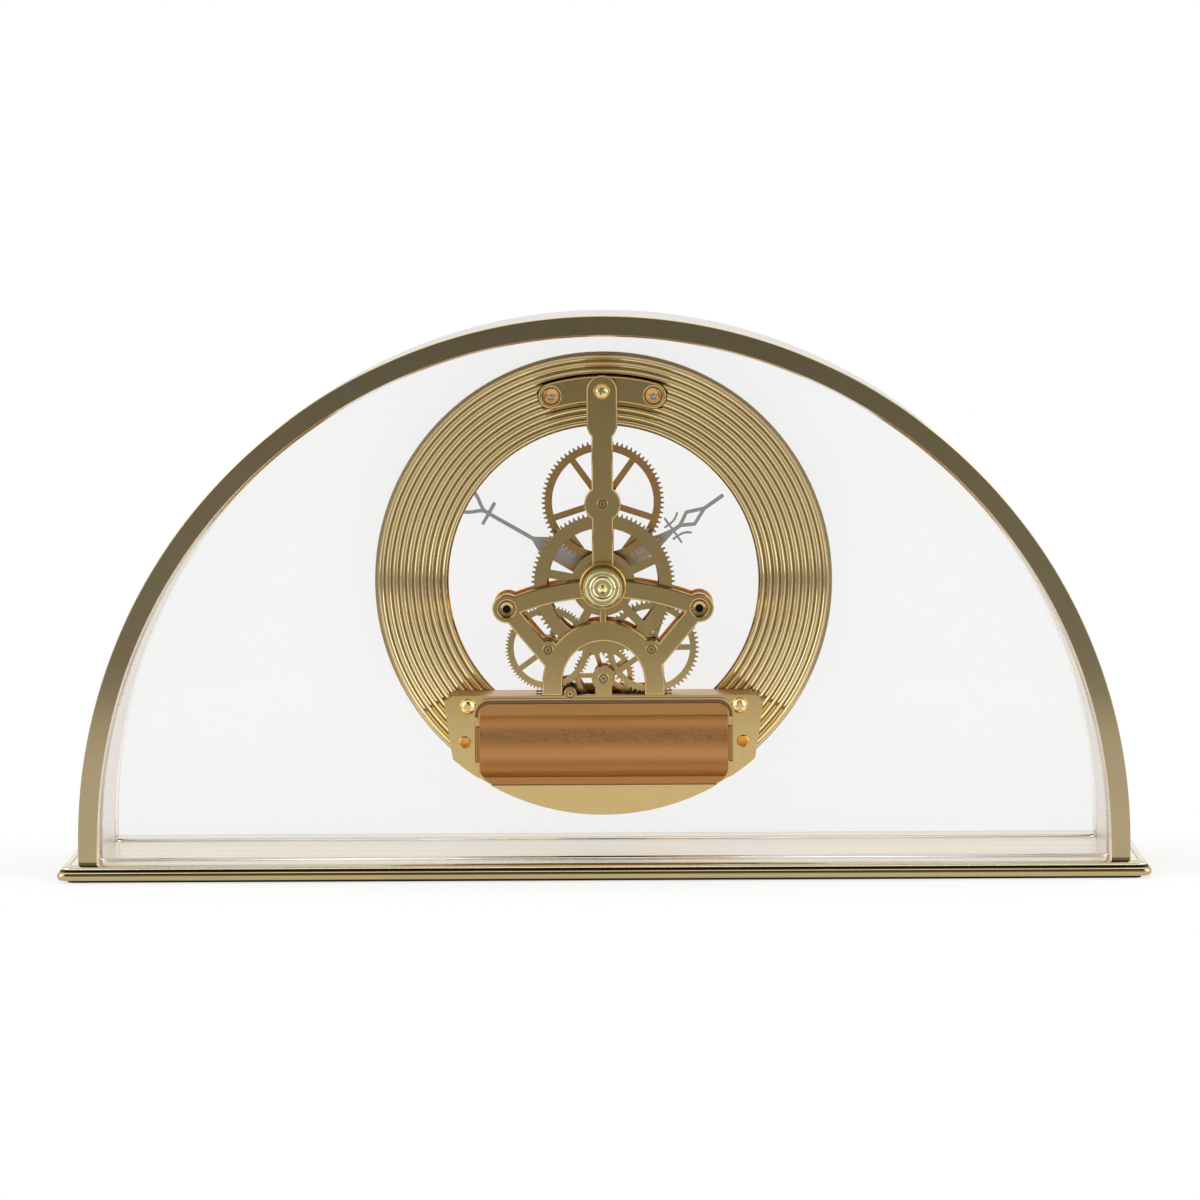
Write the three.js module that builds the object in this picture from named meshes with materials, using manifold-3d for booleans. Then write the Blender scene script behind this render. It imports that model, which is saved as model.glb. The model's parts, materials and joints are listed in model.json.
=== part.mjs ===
// Skeleton mantel clock: a half-moon case on a moulded base, with an open quartz movement behind a ring dial.
// Millimetres, +Z up. The dial faces -Y and the back of the movement +Y. The origin is under the base's middle.
import * as THREE from 'three';
import { mergeVertices } from 'three/addons/utils/BufferGeometryUtils.js';
import Module from 'manifold-3d';

const wasm = await Module();
wasm.setup();

// Case
const BASE_OVERHANG = 4.6;
const BASE_STEP = 5;
const BASE_TOP = 4;
const BASE_CORNER = 2;
const PAD_THICKNESS = 0.7;
const PAD_INSET = 2.2;
const MOULDING_WIDTH = 2.8;
// Edge of the base from its foot to its lip, as [share of the moulding's width inward, share of its height]
const MOULDING_PROFILE = [
  [0.39, 0],
  [0.125, 0.08],
  [0, 0.26],
  [0.054, 0.44],
  [0.25, 0.55],
  [0.536, 0.57],
  [0.66, 0.68],
  [0.625, 0.84],
  [0.732, 0.95],
  [0.893, 1],
];
const TOP_PLATE_THICKNESS = 0.8;
const TOP_PLATE_CORNER = 1;
const ARCH_BAND = 4.5;
const ARCH_FRONT_LIP = 5.4;
const ARCH_LEG = 4.4;
const GLASS_THICKNESS = 2.6;
const GLASS_BITE = 1.5;
const GROOVE_DEPTH = 2;
const REAR_GROOVE_WIDTH = 1.2;
const REAR_GROOVE_DEPTH = 0.5;
const REAR_GROOVE_SETBACK = 5.4;
const ARCH_SCREW_SPACING = 28;
const ARCH_SCREW_RADIUS = 1.2;
const ARCH_SCREW_HEAD_RADIUS = 2.1;
const ARCH_SCREW_HEAD_HEIGHT = 1.2;
const ARCH_SCREW_BITE = 6;

// Dial
const RING_FOOT_GAP = 8.4;
const RING_TOP_GAP = 4.9;
const RING_BAND = 17.4;
const RIDGE_COUNT = 10;
const RIDGE_HEIGHT = 1;
const RING_WEB = 1.6;
const RING_WALL = 3.2;
const RIM_DEPTH = 7.5;
const GASKET_THICKNESS = 0.5;
const GASKET_INSET = 0.4;
const CHAPTER_THICKNESS = 0.6;
const CHAPTER_MARGIN = 0.4;

// Movement layers, measured forward from the arch's rear face
const BRIDGE_SETBACK = 20;
const BRIDGE_THICKNESS = 2;
const FIRST_WHEEL_GAP = 1.2;
const LEVEL_STEP = 2.05;
const WHEEL_THICKNESS = 1;
const PINION_OVERHANG = 0.25;
const FRONT_PLATE_THICKNESS = 1.5;
const HOUR_HAND_GAP = 1.2;
const MINUTE_HAND_GAP = 1.4;
const HAND_THICKNESS = 0.6;

// Gear train: teeth, modules and the directions from one arbor to the next
const CENTRE_TEETH = 90;
const CENTRE_MODULE = 0.37;
const LEFT_PINION_TEETH = 18;
const RIGHT_PINION_TEETH = 12;
const LEFT_TEETH = 72;
const LEFT_MODULE = 0.275;
const RIGHT_TEETH = 60;
const RIGHT_MODULE = 0.3653;
const LOWER_PINION_TEETH = 12;
const LOWER_TEETH = 48;
const LOWER_MODULE = 0.2955;
const ROTOR_PINION_TEETH = 10;
const MINUTE_PINION_TEETH = 25;
const UPPER_TEETH = 75;
const UPPER_MODULE = 0.378;
const UPPER_PINION_TEETH = 15;
const HOUR_TEETH = 60;
const LEFT_DIRECTION = THREE.MathUtils.degToRad(-49.5);
const RIGHT_DIRECTION = THREE.MathUtils.degToRad(233.4);
const LOWER_DIRECTION = THREE.MathUtils.degToRad(-31.1);
const ROTOR_DIRECTION = THREE.MathUtils.degToRad(-24.3);
const UPPER_DIRECTION = Math.PI / 2;
const ADDENDUM = 0.7;
const DEDENDUM = 1.4;
const SPOKES = 5;
const CENTRE_FORM = { rim: 3, hub: 7.5, spokeWidth: 2 };
const SIDE_FORM = { rim: 1.4, hub: 2.6, spokeWidth: 1.3 };
const LOWER_FORM = { rim: 1.1, hub: 2.2, spokeWidth: 1.1 };
const UPPER_FORM = { rim: 1.7, hub: 3, spokeWidth: 1.5 };
const HOUR_FORM = { rim: 1.6, hub: 5, spokeWidth: 2 };

// Arbors and holes
const ARBOR_RADIUS = 0.8;
const PIVOT_RADIUS = 0.45;
const MINUTE_ARBOR_RADIUS = 1.2;
const ROTOR_ARBOR_RADIUS = 0.5;
const FIT = 0.3;
const OVERSHOOT = 1;
const PIPE_WALL = 1;

// Bridge and front plate
const ARM_WIDTH = 4.2;
const STRUT_WIDTH = 4;
const POST_OFFSET = 22.5;
const POST_DROP = 5.5;
const POST_BOSS_RADIUS = 3.4;
const POST_RADIUS = 2.9;
const POST_TENON_RADIUS = 1.7;
const POST_HOLE_RADIUS = 0.95;
const ARM_RISE = 4.6;
const OPENING_DROP = 22.8;
const OPENING_RADIUS = 9.6;
const OPENING_BAND = 4.7;
const STRAP_WIDTH = 5;
const STRAP_HEAD_WIDTH = 7.2;
const STRAP_HEAD_LENGTH = 8;
const UPPER_BOSS_RADIUS = 4.3;
const PIVOT_BOSS_RADIUS = 2.4;
const FAN_POST_WIDTH = 1.6;
const OVERLAP = 0.5;
const SILL_WIDTH = 1.6;
const COLLAR_RADIUS = 5.45;
const COLLAR_WALL = 0.5;
const COLLAR_HEIGHT = 4;
const KNOB_REACH = 6.5;
const KNOB_FLUTES = 36;
const KNOB_FLUTE_DEPTH = 0.18;
const KNOB_BORE_DEPTH = 2;
const KNOB_CAP = 0.8;
// Cupped end of the knob from its middle outward, as [share of the face's radius, depth below the rear end]
const KNOB_PROFILE = [
  [0, 0.5],
  [0.3, 0.5],
  [0.36, 0.1],
  [0.5, 0.1],
  [0.56, 0.7],
  [0.72, 0.7],
  [0.78, 0],
  [0.94, 0],
];

// Top bracket
const BRACKET_THICKNESS = 2.8;
const BRACKET_WIDTH = 6;
const BRACKET_HALF_ANGLE = THREE.MathUtils.degToRad(15.4);
const BRACKET_POST_RADIUS = 3;
const SCREW_HEAD_RADIUS = 1.9;
const SCREW_HEAD_HEIGHT = 1.1;
const SCREW_SHANK_RADIUS = 0.8;
const SCREW_SLOT_WIDTH = 0.55;
const SCREW_SLOT_DEPTH = 0.5;
const SCREW_FLAT_SHARE = 0.65;
const SCREW_CROSS_SHARE = 1.3;

// Battery housing
const HOUSING_DEPTH = 14;
const HOUSING_TOP_DROP = 25.9;
const HOUSING_EDGE = 1.5073;
const HOUSING_TOP_EAR = 8.3;
const HOUSING_FOOT_EAR = 6.4;
const HOUSING_CORNER = 2.5;
const HOUSING_REAR_WALL = 3.5;
const HOUSING_FRONT_WALL = 1.4;
const RECESS_WIDTH = 32;
const RECESS_DEPTH = 3.8;
const COCK_RADIUS = 2.8;
const COCK_STEM_WIDTH = 3.9;
const ROTOR_BOSS_RADIUS = 1.5;
const HOUSING_SCREW_MARGIN = 2.8;
const HOUSING_SCREW_BELOW_TOP = 2.5;
const RIVET_MARGIN = 3.6;
const RIVET_BELOW_TOP = 10.9;
const RIVET_RADIUS = 1.45;
// Dome of a rivet from its middle outward, as [share of the radius, height]
const RIVET_PROFILE = [
  [0, 0.9],
  [0.55, 0.75],
  [0.9, 0.35],
  [1, 0],
];
const TENON_WIDTH = 3;
const TENON_THICKNESS = 1.2;
const TENON_LENGTH = 1.8;
const CELL_RADIUS = 7.25;
const CELL_LENGTH = 50.5;
const CELL_NIPPLE_RADIUS = 2.7;
const CELL_NIPPLE_LENGTH = 1;
const CELL_BELOW_TOP = 11.9;
const CELL_SETBACK = 4.9;
const CELL_GAP = 0.35;
const CONTACT_THICKNESS = 0.5;
const CONTACT_WIDTH = 7;
const COVER_END_WALL = 2.65;
const COVER_TOP_LIP = 10;
const COVER_FOOT_LIP = 8.9;
const COVER_THICKNESS = 1.2;
const COVER_TAB_LENGTH = 8;
const COVER_TAB_WIDTH = 0.9;

// Motor
const MAGNET_RADIUS = 1.8;
const MAGNET_LENGTH = 2.2;
const STATOR_GAP = 0.4;
const STATOR_RIM = 1.3;
const STATOR_THICKNESS = 0.9;
const STATOR_ARM_WIDTH = 1.6;
const COIL_RADIUS = 1.9;
const COIL_SCREW_GAP = 2.6;
const COIL_START = 16.2;
const COIL_BELOW_TOP = 2.7;
const BOARD_LENGTH = 11;
const BOARD_HEIGHT = 3.4;
const BOARD_THICKNESS = 0.8;

// Hands
const MINUTE_TURN = THREE.MathUtils.degToRad(60);
const HOUR_TURN = THREE.MathUtils.degToRad(305);
const MINUTE_RIM_GAP = 4.8;
const HOUR_BORE_GAP = 1.8;
const HAND_STEM = 1;
const HAND_PRONG = 0.75;
const PRONG_STEPS = 5;
const MINUTE_HUB = 3;
const MINUTE_BLADE = { foot: 4.6, shoulder: 4.2, shoulderReach: 11, neckReach: 18 };
const MINUTE_FORK = { start: 14, end: 4, bow: 2.6, bar: 0.7 };
const MINUTE_TIP_WIDTH = 0.3;
const HOUR_RIM = 1.2;
const HOUR_BLADE = { foot: 4.4, shoulder: 3.6, shoulderReach: 14 };
const HOUR_CROSS = 14.6;
const HOUR_DIAMOND = { start: 13, waist: 10, end: 5, halfWidth: 1.7 };
const HOUR_LEAF = { root: [1.6, 0.4], upper: [2.6, 1.8], lower: [3, -0.3] };
const NUT_RADIUS = 2.3;
const NUT_HEIGHT = 1.5;
const NUT_CHAMFER = 0.5;

// Roundness: sides of a full turn, and steps of a curve
const RING_SIDES = 36;
const LARGE_SIDES = 16;
const ROUND_SIDES = 12;
const HOLE_SIDES = 8;
const PIVOT_SIDES = 8;
const ARCH_STEPS = 16;
const PLATE_STEPS = 3;
const WHEEL_STEPS = 2;
const CORNER_STEPS = 2;

// Places worked out from the sizes above
const CELL_DROP = HOUSING_TOP_DROP + CELL_BELOW_TOP;
const HOUSING_SCREW_DROP = HOUSING_TOP_DROP + HOUSING_SCREW_BELOW_TOP;
const RIVET_DROP = HOUSING_TOP_DROP + RIVET_BELOW_TOP;
const COIL_DROP = HOUSING_TOP_DROP + COIL_BELOW_TOP;
const BAY_RADIUS = CELL_RADIUS + CELL_GAP;
const BAY_LENGTH = CELL_LENGTH + 2 * (CONTACT_THICKNESS + 2 * FIT);
const COVER_LENGTH = BAY_LENGTH + 2 * COVER_END_WALL;
const COVER_RADIUS = BAY_RADIUS + COVER_THICKNESS;
const HOUSING_TOP_WIDTH = COVER_LENGTH + 2 * HOUSING_TOP_EAR;
const HOUSING_FOOT_WIDTH = COVER_LENGTH + 2 * HOUSING_FOOT_EAR;
const HOUSING_SCREW_OFFSET = COVER_LENGTH / 2 + HOUSING_SCREW_MARGIN;
const RIVET_OFFSET = COVER_LENGTH / 2 + RIVET_MARGIN;
const COIL_LENGTH = HOUSING_SCREW_OFFSET - COIL_SCREW_GAP - COIL_START;
const RING_RADIUS = Math.hypot(BAY_LENGTH / 2, CELL_DROP + BAY_RADIUS) + HOUSING_EDGE;
const RING_BORE = RING_RADIUS - RING_BAND;
const MINUTE_LENGTH = RING_RADIUS - RING_WALL - MINUTE_RIM_GAP;
const HOUR_LENGTH = RING_BORE - HOUR_BORE_GAP;
const AXIS_HEIGHT = BASE_TOP + RING_FOOT_GAP + RING_RADIUS;
const SPRING_HEIGHT = BASE_TOP + ARCH_LEG;
const ARCH_BORE = AXIS_HEIGHT + RING_RADIUS + RING_TOP_GAP - SPRING_HEIGHT;
const ARCH_RADIUS = ARCH_BORE + ARCH_BAND;
const BASE_LENGTH = 2 * (ARCH_RADIUS + BASE_OVERHANG);
const RING_SETBACK = BRIDGE_SETBACK + HOUSING_DEPTH;
const RING_FRONT = RING_SETBACK + RIDGE_HEIGHT + RING_WEB;
const RING_RIM = RING_SETBACK + RIM_DEPTH;
const GLASS_SETBACK = RING_RIM + GASKET_THICKNESS;
const ARCH_DEPTH = GLASS_SETBACK + GLASS_THICKNESS + ARCH_FRONT_LIP;
const BASE_DEPTH = ARCH_DEPTH + 2 * BASE_STEP;
const REAR = ARCH_DEPTH / 2;
const RING_MIDDLE = (RING_RADIUS + RING_BORE) / 2;
const CHAPTER_FRONT = RING_FRONT + CHAPTER_THICKNESS;
const level = (index) => BRIDGE_SETBACK + BRIDGE_THICKNESS + FIRST_WHEEL_GAP + index * LEVEL_STEP;
const CENTRE_LEVEL = level(0);
const SIDE_LEVEL = level(1);
const LOWER_LEVEL = level(2);
const UPPER_LEVEL = level(3);
const HOUR_LEVEL = level(4);
const FRONT_PLATE_SETBACK = level(5);
const HOUR_HAND_SETBACK = FRONT_PLATE_SETBACK + FRONT_PLATE_THICKNESS + HOUR_HAND_GAP;
const MINUTE_HAND_SETBACK = CHAPTER_FRONT + MINUTE_HAND_GAP;
const NUT_SETBACK = MINUTE_HAND_SETBACK + HAND_THICKNESS;
const KNOB_REAR = BRIDGE_SETBACK - COLLAR_HEIGHT - KNOB_REACH;
const KNOB_RADIUS = COLLAR_RADIUS - COLLAR_WALL - FIT;
const HOUR_MODULE = (UPPER_MODULE * (MINUTE_PINION_TEETH + UPPER_TEETH)) / (UPPER_PINION_TEETH + HOUR_TEETH);
const PIPE_BORE = MINUTE_ARBOR_RADIUS + FIT;
const PIPE_RADIUS = PIPE_BORE + PIPE_WALL;
const CELL_DEPTH = BRIDGE_SETBACK + CELL_SETBACK;
const RECESS_FLOOR = -HOUSING_TOP_DROP - RECESS_DEPTH;

const away = (from, distance, direction) => ({
  x: from.x + distance * Math.cos(direction),
  z: from.z + distance * Math.sin(direction),
});
const spacing = (module, teethA, teethB) => (module * (teethA + teethB)) / 2;
const CENTRE = { x: 0, z: 0 };
const LEFT = away(CENTRE, spacing(CENTRE_MODULE, CENTRE_TEETH, LEFT_PINION_TEETH), LEFT_DIRECTION);
const RIGHT = away(CENTRE, spacing(CENTRE_MODULE, CENTRE_TEETH, RIGHT_PINION_TEETH), RIGHT_DIRECTION);
const LOWER = away(RIGHT, spacing(RIGHT_MODULE, RIGHT_TEETH, LOWER_PINION_TEETH), LOWER_DIRECTION);
const ROTOR = away(LOWER, spacing(LOWER_MODULE, LOWER_TEETH, ROTOR_PINION_TEETH), ROTOR_DIRECTION);
const UPPER = away(CENTRE, spacing(UPPER_MODULE, MINUTE_PINION_TEETH, UPPER_TEETH), UPPER_DIRECTION);

// Materials
const finish = (color, metalness, roughness) => new THREE.MeshStandardMaterial({ color, metalness, roughness });
const POLISHED_GOLD = finish(0xc9a45a, 1, 0.18);
const BRUSHED_BRASS = finish(0xd8c4a2, 1, 0.42);
const ARCH_GOLD = finish(0x9a855a, 1, 0.3);
const MOVEMENT_GOLD = finish(0x7d6941, 1, 0.35);
const WHEEL_BRASS = finish(0x86683a, 1, 0.35);
const RING_GOLD = finish(0xcdb67c, 1, 0.22);
const COPPER_SATIN = finish(0xa06e3c, 1, 0.5);
const STEEL = finish(0x9a9a98, 1, 0.35);
const HAND_GREY = finish(0x8d8c8c, 0.8, 0.5);
const PALE_ENAMEL = finish(0xf1ead8, 0, 0.5);
const BLACK_RUBBER = finish(0x151413, 0, 0.8);
const COIL_COPPER = finish(0xb5622d, 1, 0.4);
const BOARD_GREEN = finish(0x1f5a34, 0, 0.6);
const CELL_SLEEVE = finish(0x3b3d42, 0.3, 0.4);
const CLEAR_GLASS = new THREE.MeshStandardMaterial({
  color: 0xeef2f0,
  metalness: 0,
  roughness: 0.05,
  transparent: true,
  opacity: 0.2,
});

// Solids: closed meshes joined and cut
function solid(geometry) {
  const bare = geometry.clone();
  bare.deleteAttribute('normal');
  bare.deleteAttribute('uv');
  const merged = mergeVertices(bare, 1e-4);
  return new wasm.Manifold(new wasm.Mesh({
    numProp: 3,
    vertProperties: new Float32Array(merged.attributes.position.array),
    triVerts: new Uint32Array(merged.index.array),
  }));
}

function geometryOf(body) {
  const mesh = body.getMesh();
  const geometry = new THREE.BufferGeometry();
  geometry.setAttribute('position', new THREE.BufferAttribute(new Float32Array(mesh.vertProperties), 3));
  geometry.setIndex(new THREE.BufferAttribute(new Uint32Array(mesh.triVerts), 1));
  geometry.computeVertexNormals();
  return geometry;
}

function join(...geometries) {
  return geometryOf(geometries.map(solid).reduce((whole, next) => whole.add(next)));
}

function cut(geometry, ...cutters) {
  return geometryOf(cutters.map(solid).reduce((rest, next) => rest.subtract(next), solid(geometry)));
}

// A flat piece that stands in the XZ plane: its rear face is `setback` in front of the arch's rear face
function plate(shape, setback, thickness, curveSegments = PLATE_STEPS) {
  const geometry = new THREE.ExtrudeGeometry(shape, { depth: thickness, bevelEnabled: false, curveSegments });
  geometry.rotateX(Math.PI / 2);
  geometry.translate(0, REAR - setback, 0);
  return geometry;
}

// A flat piece that lies level, from height `floor` upward
function slab(shape, floor, thickness, curveSegments = CORNER_STEPS) {
  const geometry = new THREE.ExtrudeGeometry(shape, { depth: thickness, bevelEnabled: false, curveSegments });
  geometry.translate(0, 0, floor);
  return geometry;
}

// A turned piece about the Y axis. The profile is a closed list of [radius, setback], from the rear outward
function turned(profile, sides = LARGE_SIDES) {
  const points = profile.map(([radius, setback]) => new THREE.Vector2(radius, REAR - setback));
  points.push(points[0].clone());
  const area = THREE.ShapeUtils.area(points);
  return new THREE.LatheGeometry(area > 0 ? points : points.reverse(), sides);
}

function rod(radius, setback, length, place = CENTRE, sides = ROUND_SIDES) {
  const profile = [[0, setback], [radius, setback], [radius, setback + length], [0, setback + length]];
  return turned(profile, sides).translate(place.x, 0, place.z);
}

// A cutter for a hole right through a plate
function through(radius, setback, thickness, place = CENTRE, sides = ROUND_SIDES) {
  return rod(radius, setback - OVERSHOOT, thickness + 2 * OVERSHOOT, place, sides);
}

function box(width, depth, height, x, setback, z) {
  const geometry = new THREE.BoxGeometry(width, depth, height);
  return geometry.translate(x, REAR - setback - depth / 2, z);
}

function circlePath(radius, place, sides, PathClass = THREE.Path) {
  const path = new PathClass();
  for (let i = 0; i < sides; i += 1) {
    const angle = (2 * Math.PI * i) / sides;
    const x = place.x + radius * Math.cos(angle);
    const y = place.z + radius * Math.sin(angle);
    if (i === 0) path.moveTo(x, y);
    else path.lineTo(x, y);
  }
  path.closePath();
  return path;
}

const disc = (radius, place, sides = LARGE_SIDES) => circlePath(radius, place, sides, THREE.Shape);

// A straight bar with round ends between two places
function bar(from, to, width) {
  const direction = Math.atan2(to.z - from.z, to.x - from.x);
  const shape = new THREE.Shape();
  shape.absarc(from.x, from.z, width / 2, direction + Math.PI / 2, direction + 1.5 * Math.PI);
  shape.absarc(to.x, to.z, width / 2, direction - Math.PI / 2, direction + Math.PI / 2);
  shape.closePath();
  return shape;
}

// A curved bar: part of a ring about `centre`
function arcBar(centre, radius, width, start, end) {
  const shape = new THREE.Shape();
  shape.absarc(centre.x, centre.z, radius + width / 2, start, end);
  shape.absarc(centre.x, centre.z, radius - width / 2, end, start, true);
  shape.closePath();
  return shape;
}

function rectangle(left, right, low, high) {
  const shape = new THREE.Shape();
  shape.moveTo(left, low);
  shape.lineTo(right, low);
  shape.lineTo(right, high);
  shape.lineTo(left, high);
  shape.closePath();
  return shape;
}

function roundedRectangle(length, depth, corner) {
  const x = length / 2 - corner;
  const y = depth / 2 - corner;
  const shape = new THREE.Shape();
  shape.absarc(x, y, corner, 0, Math.PI / 2);
  shape.absarc(-x, y, corner, Math.PI / 2, Math.PI);
  shape.absarc(-x, -y, corner, Math.PI, 1.5 * Math.PI);
  shape.absarc(x, -y, corner, 1.5 * Math.PI, 2 * Math.PI);
  shape.closePath();
  return shape;
}

// Half-moon outline of the case: a half circle on two short straight legs
function halfMoon(radius, foot) {
  const shape = new THREE.Shape();
  shape.moveTo(radius, foot);
  shape.lineTo(radius, SPRING_HEIGHT);
  shape.absarc(0, SPRING_HEIGHT, radius, 0, Math.PI);
  shape.lineTo(-radius, foot);
  shape.closePath();
  return shape;
}

// The clock's groups
const clock = new THREE.Group();
const movement = new THREE.Group();
movement.position.z = AXIS_HEIGHT;
clock.add(movement);

function add(group, name, geometry, material, place = CENTRE) {
  const mesh = new THREE.Mesh(geometry, material);
  mesh.name = name;
  mesh.position.set(place.x, 0, place.z);
  group.add(mesh);
  return mesh;
}

// Base: a slab whose edge follows a moulding profile of [inset, height]
function mouldedSlab(profile) {
  const rings = profile.map(([inset, height]) => {
    const outline = roundedRectangle(BASE_LENGTH - 2 * inset, BASE_DEPTH - 2 * inset, BASE_CORNER);
    return outline.extractPoints(CORNER_STEPS).shape.slice(0, -1).map((point) => [point.x, point.y, height]);
  });
  const count = rings[0].length;
  const positions = rings.flat(2);
  const index = [];
  for (let ring = 0; ring + 1 < rings.length; ring += 1) {
    for (let i = 0; i < count; i += 1) {
      const low = ring * count;
      const next = (i + 1) % count;
      index.push(low + i, low + next, low + count + next);
      index.push(low + i, low + count + next, low + count + i);
    }
  }
  const last = (rings.length - 1) * count;
  for (let i = 1; i + 1 < count; i += 1) {
    index.push(0, i + 1, i);
    index.push(last, last + i, last + i + 1);
  }
  const geometry = new THREE.BufferGeometry();
  geometry.setAttribute('position', new THREE.Float32BufferAttribute(positions, 3));
  geometry.setIndex(index);
  return geometry;
}

function upright(radius, floor, height, x, y, sides = HOLE_SIDES) {
  const geometry = new THREE.CylinderGeometry(radius, radius, height, sides);
  geometry.rotateX(Math.PI / 2);
  return geometry.translate(x, y, floor + height / 2);
}

const LEG_MIDDLE = ARCH_RADIUS - ARCH_BAND / 2;
const ARCH_SCREW_PLACES = [-1, 1].flatMap((side) => [-1, 1].map((end) => ({
  x: side * LEG_MIDDLE,
  y: (end * ARCH_SCREW_SPACING) / 2,
})));
const SCREW_SEAT = PAD_THICKNESS + ARCH_SCREW_HEAD_HEIGHT;

function buildBase() {
  const rise = BASE_TOP - PAD_THICKNESS;
  const body = mouldedSlab(MOULDING_PROFILE.map(([inward, upward]) => [
    inward * MOULDING_WIDTH,
    PAD_THICKNESS + upward * rise,
  ]));
  const plateLength = BASE_LENGTH - 2 * MOULDING_WIDTH;
  const plateDepth = BASE_DEPTH - 2 * MOULDING_WIDTH;
  const seat = BASE_TOP - TOP_PLATE_THICKNESS;
  const recessShape = roundedRectangle(plateLength, plateDepth, TOP_PLATE_CORNER);
  const recess = slab(recessShape, seat, 2 * TOP_PLATE_THICKNESS);
  const plinthHoles = ARCH_SCREW_PLACES.flatMap(({ x, y }) => [
    upright(ARCH_SCREW_RADIUS + FIT, 0, BASE_TOP, x, y),
    upright(ARCH_SCREW_HEAD_RADIUS + FIT, 0, SCREW_SEAT, x, y),
  ]);
  add(clock, 'base_plinth', cut(body, recess, ...plinthHoles), POLISHED_GOLD);

  const sheetShape = roundedRectangle(plateLength - FIT, plateDepth - FIT, TOP_PLATE_CORNER);
  const sheet = slab(sheetShape, seat, TOP_PLATE_THICKNESS);
  const slotLength = 2 * (ARCH_BORE + GLASS_BITE + FIT);
  const glassSlot = box(slotLength, GLASS_THICKNESS + 2 * FIT, BASE_TOP, 0, GLASS_SETBACK - FIT, BASE_TOP);
  const lineLength = 2 * ARCH_BORE;
  const rearLine = box(lineLength, REAR_GROOVE_WIDTH, REAR_GROOVE_DEPTH, 0, REAR_GROOVE_SETBACK, BASE_TOP);
  const sheetHoles = ARCH_SCREW_PLACES.map(({ x, y }) => (
    upright(ARCH_SCREW_RADIUS + FIT, 0, 2 * BASE_TOP, x, y)
  ));
  add(clock, 'base_top_plate', cut(sheet, glassSlot, rearLine, ...sheetHoles), BRUSHED_BRASS);

  const pad = roundedRectangle(BASE_LENGTH - 2 * PAD_INSET, BASE_DEPTH - 2 * PAD_INSET, BASE_CORNER);
  add(clock, 'base_pad', slab(pad, 0, PAD_THICKNESS), BLACK_RUBBER);
}

function buildArch() {
  const outside = plate(halfMoon(ARCH_RADIUS, BASE_TOP), 0, ARCH_DEPTH, ARCH_STEPS);
  const below = BASE_TOP - OVERSHOOT;
  const inside = plate(halfMoon(ARCH_BORE, below), -OVERSHOOT, ARCH_DEPTH + 2 * OVERSHOOT, ARCH_STEPS);
  const groove = plate(
    halfMoon(ARCH_BORE + GROOVE_DEPTH, below),
    GLASS_SETBACK - FIT,
    GLASS_THICKNESS + 2 * FIT,
    ARCH_STEPS,
  );
  const rearLine = plate(
    halfMoon(ARCH_BORE + REAR_GROOVE_DEPTH, below),
    REAR_GROOVE_SETBACK,
    REAR_GROOVE_WIDTH,
    ARCH_STEPS,
  );
  const holeDepth = ARCH_SCREW_BITE + FIT;
  const holes = ARCH_SCREW_PLACES.map(({ x, y }) => (
    upright(ARCH_SCREW_RADIUS + FIT, below, holeDepth + OVERSHOOT, x, y)
  ));
  add(clock, 'arch_frame', cut(outside, inside, groove, rearLine, ...holes), ARCH_GOLD);

  const glassFloor = BASE_TOP - TOP_PLATE_THICKNESS;
  const pane = plate(halfMoon(ARCH_BORE + GLASS_BITE, glassFloor), GLASS_SETBACK, GLASS_THICKNESS, ARCH_STEPS);
  add(clock, 'front_glass', pane, CLEAR_GLASS);

  ARCH_SCREW_PLACES.forEach(({ x, y }, i) => {
    const shank = BASE_TOP - SCREW_SEAT + ARCH_SCREW_BITE;
    const screw = join(
      upright(ARCH_SCREW_HEAD_RADIUS, PAD_THICKNESS, ARCH_SCREW_HEAD_HEIGHT, x, y),
      upright(ARCH_SCREW_RADIUS, SCREW_SEAT, shank, x, y),
    );
    add(clock, `arch_screw_${i + 1}`, screw, STEEL);
  });
}

// Screw places on the dial ring
const BRACKET_SCREWS = [-1, 1].map((side) => (
  away(CENTRE, RING_MIDDLE, Math.PI / 2 - side * BRACKET_HALF_ANGLE)
));
const HOUSING_SCREWS = [-1, 1].map((side) => ({ x: side * HOUSING_SCREW_OFFSET, z: -HOUSING_SCREW_DROP }));
const RIVETS = [-1, 1].map((side) => ({ x: side * RIVET_OFFSET, z: -RIVET_DROP }));
const SCREW_TIP = RING_FRONT - FIT;

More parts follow.
